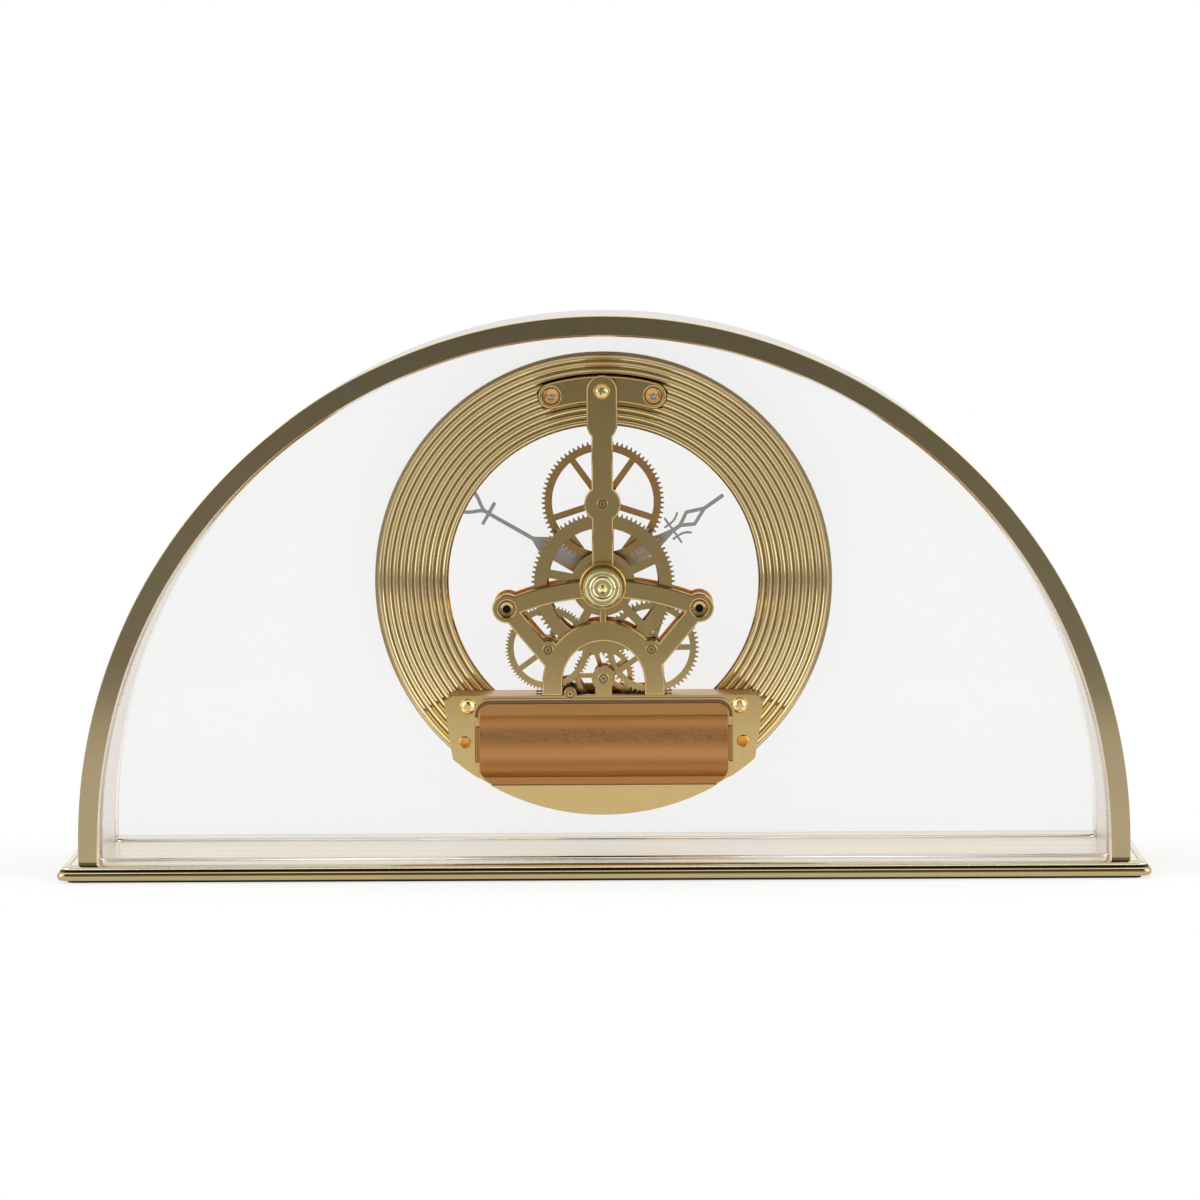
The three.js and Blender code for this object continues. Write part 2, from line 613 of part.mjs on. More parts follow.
function buildDial() {
  const valley = RING_SETBACK + RIDGE_HEIGHT;
  const pitch = (RING_RADIUS - RING_BORE) / RIDGE_COUNT;
  const profile = [[RING_BORE, valley]];
  for (let ridge = 0; ridge < RIDGE_COUNT; ridge += 1) {
    const start = RING_BORE + ridge * pitch;
    profile.push([start + pitch / 2, RING_SETBACK]);
    profile.push([start + pitch, valley]);
  }
  profile.push([RING_RADIUS, RING_RIM]);
  profile.push([RING_RADIUS - RING_WALL, RING_RIM]);
  profile.push([RING_RADIUS - RING_WALL, RING_FRONT]);
  profile.push([RING_BORE, RING_FRONT]);
  const screwHoles = [...BRACKET_SCREWS, ...HOUSING_SCREWS].map((place) => (
    through(SCREW_SHANK_RADIUS + FIT, RING_SETBACK, RING_FRONT - RING_SETBACK, place, PIVOT_SIDES)
  ));
  add(movement, 'dial_ring', cut(turned(profile, RING_SIDES), ...screwHoles), RING_GOLD);

  const inner = RING_RADIUS - RING_WALL;
  const gasket = [
    [inner + GASKET_INSET, RING_RIM],
    [RING_RADIUS - GASKET_INSET, RING_RIM],
    [RING_RADIUS - GASKET_INSET, GLASS_SETBACK],
    [inner + GASKET_INSET, GLASS_SETBACK],
  ];
  add(movement, 'dial_gasket', turned(gasket, RING_SIDES), BLACK_RUBBER);
  const chapter = [
    [RING_BORE + CHAPTER_MARGIN, RING_FRONT],
    [inner - CHAPTER_MARGIN, RING_FRONT],
    [inner - CHAPTER_MARGIN, CHAPTER_FRONT],
    [RING_BORE + CHAPTER_MARGIN, CHAPTER_FRONT],
  ];
  add(movement, 'chapter_ring', turned(chapter, RING_SIDES), PALE_ENAMEL);
}

// A screw seen from the rear: a domed or flat head with a cross recess, and its shank toward the front
function screw(place, headRear, tip, domed) {
  const shoulder = headRear + SCREW_HEAD_HEIGHT;
  const edge = domed ? headRear + SCREW_HEAD_HEIGHT / 2 : headRear;
  const profile = [
    [0, headRear],
    [SCREW_HEAD_RADIUS * SCREW_FLAT_SHARE, headRear],
    [SCREW_HEAD_RADIUS, edge],
    [SCREW_HEAD_RADIUS, shoulder],
    [SCREW_SHANK_RADIUS, shoulder],
    [SCREW_SHANK_RADIUS, tip],
    [0, tip],
  ];
  const length = SCREW_HEAD_RADIUS * SCREW_CROSS_SHARE;
  const cross = [
    box(length, SCREW_SLOT_DEPTH * 2, SCREW_SLOT_WIDTH, 0, headRear - SCREW_SLOT_DEPTH, 0),
    box(SCREW_SLOT_WIDTH, SCREW_SLOT_DEPTH * 2, length, 0, headRear - SCREW_SLOT_DEPTH, 0),
  ];
  return cut(turned(profile, ROUND_SIDES), ...cross).translate(place.x, 0, place.z);
}

const POSTS = [-1, 1].map((side) => ({ x: side * POST_OFFSET, z: -POST_DROP }));
const STRAP_HEAD = { x: 0, z: RING_MIDDLE };
const BRACKET_SETBACK = RING_SETBACK - BRACKET_THICKNESS;

function buildTopBracket() {
  const start = Math.PI / 2 - BRACKET_HALF_ANGLE;
  const end = Math.PI / 2 + BRACKET_HALF_ANGLE;
  const blank = join(
    plate(arcBar(CENTRE, RING_MIDDLE, BRACKET_WIDTH, start, end), BRACKET_SETBACK, BRACKET_THICKNESS),
    ...BRACKET_SCREWS.map((place) => (
      rod(BRACKET_WIDTH / 2, BRACKET_SETBACK, BRACKET_THICKNESS, place, LARGE_SIDES)
    )),
    rod(
      BRACKET_POST_RADIUS,
      BRIDGE_SETBACK + BRIDGE_THICKNESS,
      RING_SETBACK - BRIDGE_SETBACK - BRIDGE_THICKNESS,
      STRAP_HEAD,
    ),
  );
  const headSeat = SCREW_HEAD_HEIGHT + SCREW_SLOT_DEPTH / 2;
  const holes = BRACKET_SCREWS.flatMap((place) => [
    through(SCREW_SHANK_RADIUS + FIT, BRACKET_SETBACK, BRACKET_THICKNESS, place, HOLE_SIDES),
    rod(SCREW_HEAD_RADIUS + FIT, BRACKET_SETBACK - OVERSHOOT, headSeat + OVERSHOOT, place),
  ]);
  const bridgeHole = rod(
    SCREW_SHANK_RADIUS + FIT,
    BRIDGE_SETBACK,
    RING_SETBACK - BRIDGE_SETBACK - BRACKET_THICKNESS,
    STRAP_HEAD,
    HOLE_SIDES,
  );
  add(movement, 'top_bracket', cut(blank, ...holes, bridgeHole), RING_GOLD);
  const sides = ['right', 'left'];
  const headRear = BRACKET_SETBACK + headSeat - SCREW_HEAD_HEIGHT;
  BRACKET_SCREWS.forEach((place, i) => {
    add(movement, `bracket_screw_${sides[i]}`, screw(place, headRear, SCREW_TIP, false), STEEL);
  });
  const bridgeScrewTip = BRACKET_SETBACK - FIT;
  const bridgeHead = BRIDGE_SETBACK - SCREW_HEAD_HEIGHT;
  add(movement, 'bridge_screw', screw(STRAP_HEAD, bridgeHead, bridgeScrewTip, true), POLISHED_GOLD);
}

// Shared outline of the bridge and the front plate: arms to the posts, struts, and a round-topped opening
function fanPieces(setback, thickness) {
  const arcRadius = (POST_OFFSET ** 2 + ARM_RISE ** 2) / (2 * ARM_RISE);
  const arcCentre = { x: 0, z: -POST_DROP + ARM_RISE - arcRadius };
  const arcHalf = Math.asin(POST_OFFSET / arcRadius);
  const openingCentre = { x: 0, z: -OPENING_DROP };
  const bandRadius = OPENING_RADIUS + OPENING_BAND / 2;
  const shapes = [
    arcBar(arcCentre, arcRadius, ARM_WIDTH, Math.PI / 2 - arcHalf, Math.PI / 2 + arcHalf),
    arcBar(openingCentre, bandRadius, OPENING_BAND, 0, Math.PI),
  ];
  POSTS.forEach((post) => {
    const side = Math.sign(post.x);
    const inner = side * OPENING_RADIUS;
    const outer = side * (OPENING_RADIUS + OPENING_BAND);
    const left = Math.min(inner, outer);
    const right = Math.max(inner, outer);
    shapes.push(disc(POST_BOSS_RADIUS, post));
    shapes.push(bar(post, { x: side * bandRadius, z: -OPENING_DROP + OPENING_BAND }, STRUT_WIDTH));
    shapes.push(rectangle(left, right, -HOUSING_TOP_DROP, -OPENING_DROP));
  });
  [LEFT, RIGHT].forEach((place) => shapes.push(disc(PIVOT_BOSS_RADIUS, place)));
  shapes.push(rectangle(
    -FAN_POST_WIDTH / 2,
    FAN_POST_WIDTH / 2,
    -OPENING_DROP + OPENING_RADIUS + OVERLAP,
    -POST_DROP,
  ));
  return shapes.map((shape) => plate(shape, setback, thickness));
}

const pivotHole = (place) => (
  through(PIVOT_RADIUS + FIT, BRIDGE_SETBACK, BRIDGE_THICKNESS + HOUSING_REAR_WALL, place, HOLE_SIDES)
);

const TENONS = [-1, 1].map((side) => side * (OPENING_RADIUS + OPENING_BAND / 2));
const TENON_SETBACK = BRIDGE_SETBACK + (BRIDGE_THICKNESS - TENON_THICKNESS) / 2;

function buildBridge() {
  const collarRear = BRIDGE_SETBACK - COLLAR_HEIGHT;
  const bridgeFront = BRIDGE_SETBACK + BRIDGE_THICKNESS;
  const headFoot = { x: 0, z: RING_MIDDLE - STRAP_HEAD_LENGTH };
  const tenons = TENONS.map((x) => box(
    TENON_WIDTH,
    TENON_THICKNESS,
    TENON_LENGTH + OVERLAP,
    x,
    TENON_SETBACK,
    -HOUSING_TOP_DROP + (OVERLAP - TENON_LENGTH) / 2,
  ));
  const blank = join(
    ...fanPieces(BRIDGE_SETBACK, BRIDGE_THICKNESS),
    plate(rectangle(-STRAP_WIDTH / 2, STRAP_WIDTH / 2, 0, RING_MIDDLE), BRIDGE_SETBACK, BRIDGE_THICKNESS),
    plate(bar(headFoot, STRAP_HEAD, STRAP_HEAD_WIDTH), BRIDGE_SETBACK, BRIDGE_THICKNESS),
    plate(disc(UPPER_BOSS_RADIUS, UPPER), BRIDGE_SETBACK, BRIDGE_THICKNESS),
    rod(COLLAR_RADIUS, collarRear, COLLAR_HEIGHT + BRIDGE_THICKNESS, CENTRE, LARGE_SIDES),
    ...tenons,
  );
  const holes = [
    rod(COLLAR_RADIUS - COLLAR_WALL, collarRear - OVERSHOOT, COLLAR_HEIGHT + OVERSHOOT, CENTRE, LARGE_SIDES),
    through(MINUTE_ARBOR_RADIUS + FIT, collarRear, COLLAR_HEIGHT + BRIDGE_THICKNESS),
    through(SCREW_SHANK_RADIUS + FIT, BRIDGE_SETBACK, BRIDGE_THICKNESS, STRAP_HEAD, HOLE_SIDES),
    ...[UPPER, LEFT, RIGHT].map(pivotHole),
    ...POSTS.map((post) => through(POST_TENON_RADIUS + FIT, BRIDGE_SETBACK, BRIDGE_THICKNESS, post)),
  ];
  add(movement, 'rear_bridge', cut(blank, ...holes), MOVEMENT_GOLD);

  const sides = ['right', 'left'];
  POSTS.forEach((post, i) => {
    const frontTenon = FRONT_PLATE_SETBACK + FRONT_PLATE_THICKNESS;
    const body = join(
      rod(POST_RADIUS, bridgeFront, FRONT_PLATE_SETBACK - bridgeFront, post, LARGE_SIDES),
      rod(POST_TENON_RADIUS, BRIDGE_SETBACK - FIT, frontTenon - BRIDGE_SETBACK + FIT, post),
    );
    const bore = through(POST_HOLE_RADIUS, BRIDGE_SETBACK, frontTenon - BRIDGE_SETBACK, post, HOLE_SIDES);
    add(movement, `post_${sides[i]}`, cut(body, bore), POLISHED_GOLD);
  });
}

function buildFrontPlate() {
  const at = (shape) => plate(shape, FRONT_PLATE_SETBACK, FRONT_PLATE_THICKNESS);
  const legFoot = { x: OPENING_RADIUS + OPENING_BAND / 2, z: ROTOR.z };
  const blank = join(
    ...fanPieces(FRONT_PLATE_SETBACK, FRONT_PLATE_THICKNESS),
    at(disc(PIPE_RADIUS + ARM_WIDTH / 2, CENTRE)),
    at(bar(CENTRE, UPPER, STRAP_WIDTH)),
    at(disc(PIVOT_BOSS_RADIUS, LOWER)),
    at(rectangle(-COCK_STEM_WIDTH / 2, COCK_STEM_WIDTH / 2, -HOUSING_TOP_DROP, LOWER.z)),
    at(rectangle(-legFoot.x, legFoot.x, -HOUSING_TOP_DROP, SILL_WIDTH - HOUSING_TOP_DROP)),
    at(bar(ROTOR, legFoot, 2 * ROTOR_BOSS_RADIUS)),
  );
  const hole = (radius, place, sides) => (
    through(radius, FRONT_PLATE_SETBACK, FRONT_PLATE_THICKNESS, place, sides)
  );
  const trim = box(
    RECESS_WIDTH,
    FRONT_PLATE_THICKNESS + 2 * OVERSHOOT,
    RECESS_DEPTH,
    0,
    FRONT_PLATE_SETBACK - OVERSHOOT,
    -HOUSING_TOP_DROP - RECESS_DEPTH / 2,
  );
  const holes = [
    hole(PIPE_RADIUS + FIT, CENTRE, LARGE_SIDES),
    ...[UPPER, LEFT, RIGHT, LOWER, ROTOR].map((place) => hole(PIVOT_RADIUS + FIT, place, PIVOT_SIDES)),
    ...POSTS.map((post) => hole(POST_TENON_RADIUS + FIT, post, ROUND_SIDES)),
  ];
  add(movement, 'front_plate', cut(blank, trim, ...holes), MOVEMENT_GOLD);
}

// Gears: pointed teeth on a flat wheel or a pinion. `phase` is the direction of one tooth
function gearShape(teeth, module, phase) {
  const pitchRadius = (module * teeth) / 2;
  const step = (2 * Math.PI) / teeth;
  const root = pitchRadius - DEDENDUM * module;
  const tip = pitchRadius + ADDENDUM * module;
  const shape = new THREE.Shape();
  for (let tooth = 0; tooth < teeth; tooth += 1) {
    const middle = phase + tooth * step;
    const gap = middle - step / 2;
    if (tooth === 0) shape.moveTo(root * Math.cos(gap), root * Math.sin(gap));
    else shape.lineTo(root * Math.cos(gap), root * Math.sin(gap));
    shape.lineTo(tip * Math.cos(middle), tip * Math.sin(middle));
  }
  shape.closePath();
  return shape;
}

// The tooth direction of a gear that meshes, along `direction`, with a gear of a known tooth direction
function meshPhase(driverTeeth, driverPhase, teeth, direction) {
  const driverShare = ((direction - driverPhase) * driverTeeth) / (2 * Math.PI);
  return direction + Math.PI - ((0.5 - driverShare) * 2 * Math.PI) / teeth;
}

function spokeGap(rim, hub, spokeWidth, from, to) {
  const rimTurn = Math.asin(spokeWidth / 2 / rim);
  const hubTurn = Math.asin(spokeWidth / 2 / hub);
  const path = new THREE.Path();
  path.absarc(0, 0, rim, from + rimTurn, to - rimTurn);
  path.absarc(0, 0, hub, to - hubTurn, from + hubTurn, true);
  path.closePath();
  return path;
}

function wheel({ teeth, module, phase, rim, hub, spokeWidth, spokePhase, bore, setback }) {
  const shape = gearShape(teeth, module, phase);
  const inner = (module * teeth) / 2 - DEDENDUM * module - rim;
  for (let spoke = 0; spoke < SPOKES; spoke += 1) {
    const from = spokePhase + (2 * Math.PI * spoke) / SPOKES;
    shape.holes.push(spokeGap(inner, hub, spokeWidth, from, from + (2 * Math.PI) / SPOKES));
  }
  shape.holes.push(circlePath(bore, CENTRE, HOLE_SIDES));
  return plate(shape, setback, WHEEL_THICKNESS, WHEEL_STEPS);
}

// An arbor with a pinion cut on it and a fine pivot at each end
function pinionArbor({ teeth, module, phase, pinionSetback, radius = ARBOR_RADIUS }) {
  const shoulder = BRIDGE_SETBACK + BRIDGE_THICKNESS + FIT;
  const body = FRONT_PLATE_SETBACK - FIT - shoulder;
  const pivotRear = BRIDGE_SETBACK + FIT;
  const pivotLength = FRONT_PLATE_SETBACK + FRONT_PLATE_THICKNESS - FIT - pivotRear;
  const thickness = WHEEL_THICKNESS + 2 * PINION_OVERHANG;
  return join(
    plate(gearShape(teeth, module, phase), pinionSetback - PINION_OVERHANG, thickness),
    rod(radius, shoulder, body, CENTRE, HOLE_SIDES),
    rod(PIVOT_RADIUS, pivotRear, pivotLength, CENTRE, PIVOT_SIDES),
  );
}

const WHEEL_BORE = ARBOR_RADIUS + FIT;
const CENTRE_PHASE = Math.PI / 2;
const LEFT_PHASE = 0;
const RIGHT_PHASE = 0;
const LOWER_PHASE = 0;
const MINUTE_PINION_PHASE = Math.PI / 2;
const HOUR_PHASE = Math.PI / 2;
const tenthTurn = Math.PI / SPOKES;

function buildSideWheels() {
  const sides = [
    ['left', LEFT, LEFT_PINION_TEETH, LEFT_DIRECTION, LEFT_TEETH, LEFT_MODULE, LEFT_PHASE],
    ['right', RIGHT, RIGHT_PINION_TEETH, RIGHT_DIRECTION, RIGHT_TEETH, RIGHT_MODULE, RIGHT_PHASE],
  ];
  sides.forEach(([side, place, pinionTeeth, direction, teeth, module, phase]) => {
    const pinionPhase = meshPhase(CENTRE_TEETH, CENTRE_PHASE, pinionTeeth, direction);
    const arbor = pinionArbor({
      teeth: pinionTeeth,
      module: CENTRE_MODULE,
      phase: pinionPhase,
      pinionSetback: CENTRE_LEVEL,
    });
    add(movement, `${side}_arbor`, arbor, STEEL, place);
    const gear = wheel({
      teeth,
      module,
      phase,
      ...SIDE_FORM,
      spokePhase: tenthTurn,
      bore: WHEEL_BORE,
      setback: SIDE_LEVEL,
    });
    add(movement, `${side}_wheel`, gear, WHEEL_BRASS, place);
  });
}

function buildLowerWheels() {
  const lowerArbor = pinionArbor({
    teeth: LOWER_PINION_TEETH,
    module: RIGHT_MODULE,
    phase: meshPhase(RIGHT_TEETH, RIGHT_PHASE, LOWER_PINION_TEETH, LOWER_DIRECTION),
    pinionSetback: SIDE_LEVEL,
  });
  add(movement, 'lower_arbor', lowerArbor, STEEL, LOWER);
  const lowerWheel = wheel({
    teeth: LOWER_TEETH,
    module: LOWER_MODULE,
    phase: LOWER_PHASE,
    ...LOWER_FORM,
    spokePhase: 0,
    bore: WHEEL_BORE,
    setback: LOWER_LEVEL,
  });
  add(movement, 'lower_wheel', lowerWheel, WHEEL_BRASS, LOWER);
  const rotorArbor = pinionArbor({
    teeth: ROTOR_PINION_TEETH,
    module: LOWER_MODULE,
    phase: meshPhase(LOWER_TEETH, LOWER_PHASE, ROTOR_PINION_TEETH, ROTOR_DIRECTION),
    pinionSetback: LOWER_LEVEL,
    radius: ROTOR_ARBOR_RADIUS,
  });
  add(movement, 'rotor_pinion', rotorArbor, STEEL, ROTOR);
}

function buildUpperWheels() {
  const upperPinionPhase = meshPhase(HOUR_TEETH, HOUR_PHASE, UPPER_PINION_TEETH, UPPER_DIRECTION);
  const upperArbor = pinionArbor({
    teeth: UPPER_PINION_TEETH,
    module: HOUR_MODULE,
    phase: upperPinionPhase,
    pinionSetback: HOUR_LEVEL,
  });
  add(movement, 'upper_arbor', upperArbor, STEEL, UPPER);
  const upperWheel = wheel({
    teeth: UPPER_TEETH,
    module: UPPER_MODULE,
    phase: meshPhase(MINUTE_PINION_TEETH, MINUTE_PINION_PHASE, UPPER_TEETH, UPPER_DIRECTION),
    ...UPPER_FORM,
    spokePhase: -Math.PI / 2,
    bore: WHEEL_BORE,
    setback: UPPER_LEVEL,
  });
  add(movement, 'upper_wheel', upperWheel, WHEEL_BRASS, UPPER);
}

function buildMinuteArbor() {
  const arborRear = KNOB_REAR + KNOB_BORE_DEPTH;
  const arborFront = NUT_SETBACK + NUT_HEIGHT / 2;
  add(movement, 'minute_arbor', rod(MINUTE_ARBOR_RADIUS, arborRear, arborFront - arborRear), STEEL);
  const centreWheel = wheel({
    teeth: CENTRE_TEETH,
    module: CENTRE_MODULE,
    phase: CENTRE_PHASE,
    ...CENTRE_FORM,
    spokePhase: -Math.PI / 2,
    bore: MINUTE_ARBOR_RADIUS + FIT,
    setback: CENTRE_LEVEL,
  });
  add(movement, 'centre_wheel', centreWheel, MOVEMENT_GOLD);
  const pinionShape = gearShape(MINUTE_PINION_TEETH, UPPER_MODULE, MINUTE_PINION_PHASE);
  pinionShape.holes.push(circlePath(MINUTE_ARBOR_RADIUS + FIT, CENTRE, HOLE_SIDES));
  const pinionThickness = WHEEL_THICKNESS + 2 * PINION_OVERHANG;
  const minutePinion = plate(pinionShape, UPPER_LEVEL - PINION_OVERHANG, pinionThickness);
  add(movement, 'minute_pinion', minutePinion, WHEEL_BRASS);
}

function buildKnob() {
  const grip = new THREE.Shape();
  const flutePoints = 2 * KNOB_FLUTES;
  for (let i = 0; i < flutePoints; i += 1) {
    const angle = (2 * Math.PI * i) / flutePoints;
    const radius = KNOB_RADIUS - (i % 2) * KNOB_FLUTE_DEPTH;
    if (i === 0) grip.moveTo(radius, 0);
    else grip.lineTo(radius * Math.cos(angle), radius * Math.sin(angle));
  }
  grip.closePath();
  const gripRear = KNOB_REAR + KNOB_CAP;
  const face = KNOB_RADIUS - 2 * KNOB_FLUTE_DEPTH;
  const cap = turned([
    ...KNOB_PROFILE.map(([share, depth]) => [face * share, KNOB_REAR + depth]),
    [face, gripRear + OVERLAP],
    [0, gripRear + OVERLAP],
  ]);
  const knobFront = BRIDGE_SETBACK - FIT;
  const body = join(plate(grip, gripRear, knobFront - gripRear), cap);
  const boreRear = KNOB_REAR + KNOB_BORE_DEPTH - FIT;
  const bore = rod(MINUTE_ARBOR_RADIUS + FIT, boreRear, knobFront - boreRear + OVERSHOOT);
  add(movement, 'setting_knob', cut(body, bore), POLISHED_GOLD);
}

function buildHourWheel() {
  const shape = wheel({
    teeth: HOUR_TEETH,
    module: HOUR_MODULE,
    phase: HOUR_PHASE,
    ...HOUR_FORM,
    spokePhase: -Math.PI / 2,
    bore: PIPE_BORE,
    setback: HOUR_LEVEL,
  });
  const pipeFront = HOUR_HAND_SETBACK + HAND_THICKNESS;
  const pipe = turned([
    [PIPE_BORE, HOUR_LEVEL],
    [PIPE_RADIUS, HOUR_LEVEL],
    [PIPE_RADIUS, pipeFront],
    [PIPE_BORE, pipeFront],
  ], ROUND_SIDES);
  const bore = through(PIPE_BORE, HOUR_LEVEL, pipeFront - HOUR_LEVEL);
  add(movement, 'hour_wheel', cut(join(shape, pipe), bore), WHEEL_BRASS);
}

// Hands are drawn pointing up and then turned clockwise, as seen from the front, to their time
const alongHand = (side, reach) => ({ x: side, z: reach });

function handBlade(foot, footWidth, neck, neckWidth) {
  const shape = new THREE.Shape();
  shape.moveTo(-footWidth / 2, foot);
  shape.lineTo(footWidth / 2, foot);
  shape.lineTo(neckWidth / 2, neck);
  shape.lineTo(-neckWidth / 2, neck);
  shape.closePath();
  return shape;
}

// Two prongs that part, bow outward and meet again: a list of bars through a sine bow
function bowedProngs(start, end, bow) {
  const bars = [];
  [-1, 1].forEach((side) => {
    for (let i = 0; i < PRONG_STEPS; i += 1) {
      const points = [i, i + 1].map((step) => {
        const share = step / PRONG_STEPS;
        return alongHand(side * bow * Math.sin(Math.PI * share), start + share * (end - start));
      });
      bars.push(bar(points[0], points[1], HAND_PRONG));
    }
  });
  return bars;
}

function buildHand(name, setback, turn, hubRadius, bore, shapes) {
  const flat = (shape) => plate(shape, setback, HAND_THICKNESS, 1);
  const blank = join(rod(hubRadius, setback, HAND_THICKNESS, CENTRE, LARGE_SIDES), ...shapes.map(flat));
  const hand = cut(blank, through(bore, setback, HAND_THICKNESS));
  hand.rotateY(turn);
  add(movement, name, hand, HAND_GREY);
}

function buildHands() {
  const fork = MINUTE_LENGTH - MINUTE_FORK.start;
  const forkEnd = MINUTE_LENGTH - MINUTE_FORK.end;
  const crossReach = fork - MINUTE_FORK.bar;
  const blade = MINUTE_BLADE;
  buildHand('minute_hand', MINUTE_HAND_SETBACK, MINUTE_TURN, MINUTE_HUB, MINUTE_ARBOR_RADIUS + FIT, [
    handBlade(0, blade.foot, blade.shoulderReach, blade.shoulder),
    handBlade(blade.shoulderReach, blade.shoulder, blade.neckReach, HAND_STEM),
    bar(alongHand(0, blade.neckReach - OVERLAP), alongHand(0, fork), HAND_STEM),
    bar(alongHand(-MINUTE_FORK.bow, crossReach), alongHand(MINUTE_FORK.bow, crossReach), HAND_PRONG),
    ...bowedProngs(fork, forkEnd, MINUTE_FORK.bow),
    handBlade(forkEnd - OVERLAP, HAND_STEM, MINUTE_LENGTH, MINUTE_TIP_WIDTH),
  ]);
  const cross = HOUR_LENGTH - HOUR_CROSS;
  const diamond = HOUR_LENGTH - HOUR_DIAMOND.start;
  const diamondTop = HOUR_LENGTH - HOUR_DIAMOND.end;
  const waist = HOUR_LENGTH - HOUR_DIAMOND.waist;
  const sides = [-1, 1].flatMap((side) => {
    const corner = alongHand(side * HOUR_DIAMOND.halfWidth, waist);
    const leaf = ([across, along]) => alongHand(side * across, cross + along);
    return [
      bar(alongHand(0, diamond), corner, HAND_PRONG),
      bar(corner, alongHand(0, diamondTop), HAND_PRONG),
      bar(alongHand(0, cross), leaf(HOUR_LEAF.root), HAND_PRONG),
      bar(leaf(HOUR_LEAF.root), leaf(HOUR_LEAF.upper), HAND_PRONG),
      bar(leaf(HOUR_LEAF.root), leaf(HOUR_LEAF.lower), HAND_PRONG),
    ];
  });
  const hourBore = PIPE_RADIUS + FIT;
  const neck = cross - 2 * OVERLAP;
  buildHand('hour_hand', HOUR_HAND_SETBACK, HOUR_TURN, hourBore + HOUR_RIM, hourBore, [
    handBlade(hourBore + OVERLAP, HOUR_BLADE.foot, HOUR_BLADE.shoulderReach, HOUR_BLADE.shoulder),
    handBlade(HOUR_BLADE.shoulderReach, HOUR_BLADE.shoulder, neck, HAND_STEM),
    bar(alongHand(0, neck - OVERLAP), alongHand(0, diamond), HAND_STEM),
    ...sides,
    bar(alongHand(0, diamondTop), alongHand(0, HOUR_LENGTH - HAND_STEM / 2), HAND_STEM),
  ]);
  const nut = turned([
    [MINUTE_ARBOR_RADIUS + FIT, NUT_SETBACK],
    [NUT_RADIUS, NUT_SETBACK],
    [NUT_RADIUS, NUT_SETBACK + NUT_HEIGHT - NUT_CHAMFER],
    [NUT_RADIUS - NUT_CHAMFER, NUT_SETBACK + NUT_HEIGHT],
    [MINUTE_ARBOR_RADIUS + FIT, NUT_SETBACK + NUT_HEIGHT],
  ], ROUND_SIDES);
  add(movement, 'hand_nut', nut, POLISHED_GOLD);
}

// Battery housing: outline with rounded top corners and a foot that follows the dial ring
function housingShape() {
  const top = -HOUSING_TOP_DROP;
  const halfTop = HOUSING_TOP_WIDTH / 2;
  const halfFoot = HOUSING_FOOT_WIDTH / 2;
  const footTurn = Math.acos(halfFoot / RING_RADIUS);
  const shape = new THREE.Shape();
  shape.moveTo(-halfTop, top - HOUSING_CORNER);
  shape.absarc(0, 0, RING_RADIUS, Math.PI + footTurn, 2 * Math.PI - footTurn);
  shape.lineTo(halfTop, top - HOUSING_CORNER);
  shape.absarc(halfTop - HOUSING_CORNER, top - HOUSING_CORNER, HOUSING_CORNER, 0, Math.PI / 2);
  shape.absarc(HOUSING_CORNER - halfTop, top - HOUSING_CORNER, HOUSING_CORNER, Math.PI / 2, Math.PI);
  shape.closePath();
  return shape;
}

// A round bar along X
function lengthwise(radius, length, x, setback, z, sides = LARGE_SIDES) {
  const geometry = new THREE.CylinderGeometry(radius, radius, length, sides);
  geometry.rotateZ(Math.PI / 2);
  return geometry.translate(x, REAR - setback, z);
}

const COVER_TOP = -CELL_DROP + COVER_TOP_LIP;
const COVER_FOOT = -CELL_DROP - COVER_FOOT_LIP;
const COIL_SETBACK = UPPER_LEVEL + MAGNET_LENGTH / 2 + STATOR_THICKNESS / 2;
const MAGNET_SETBACK = UPPER_LEVEL + STATOR_THICKNESS / 2;

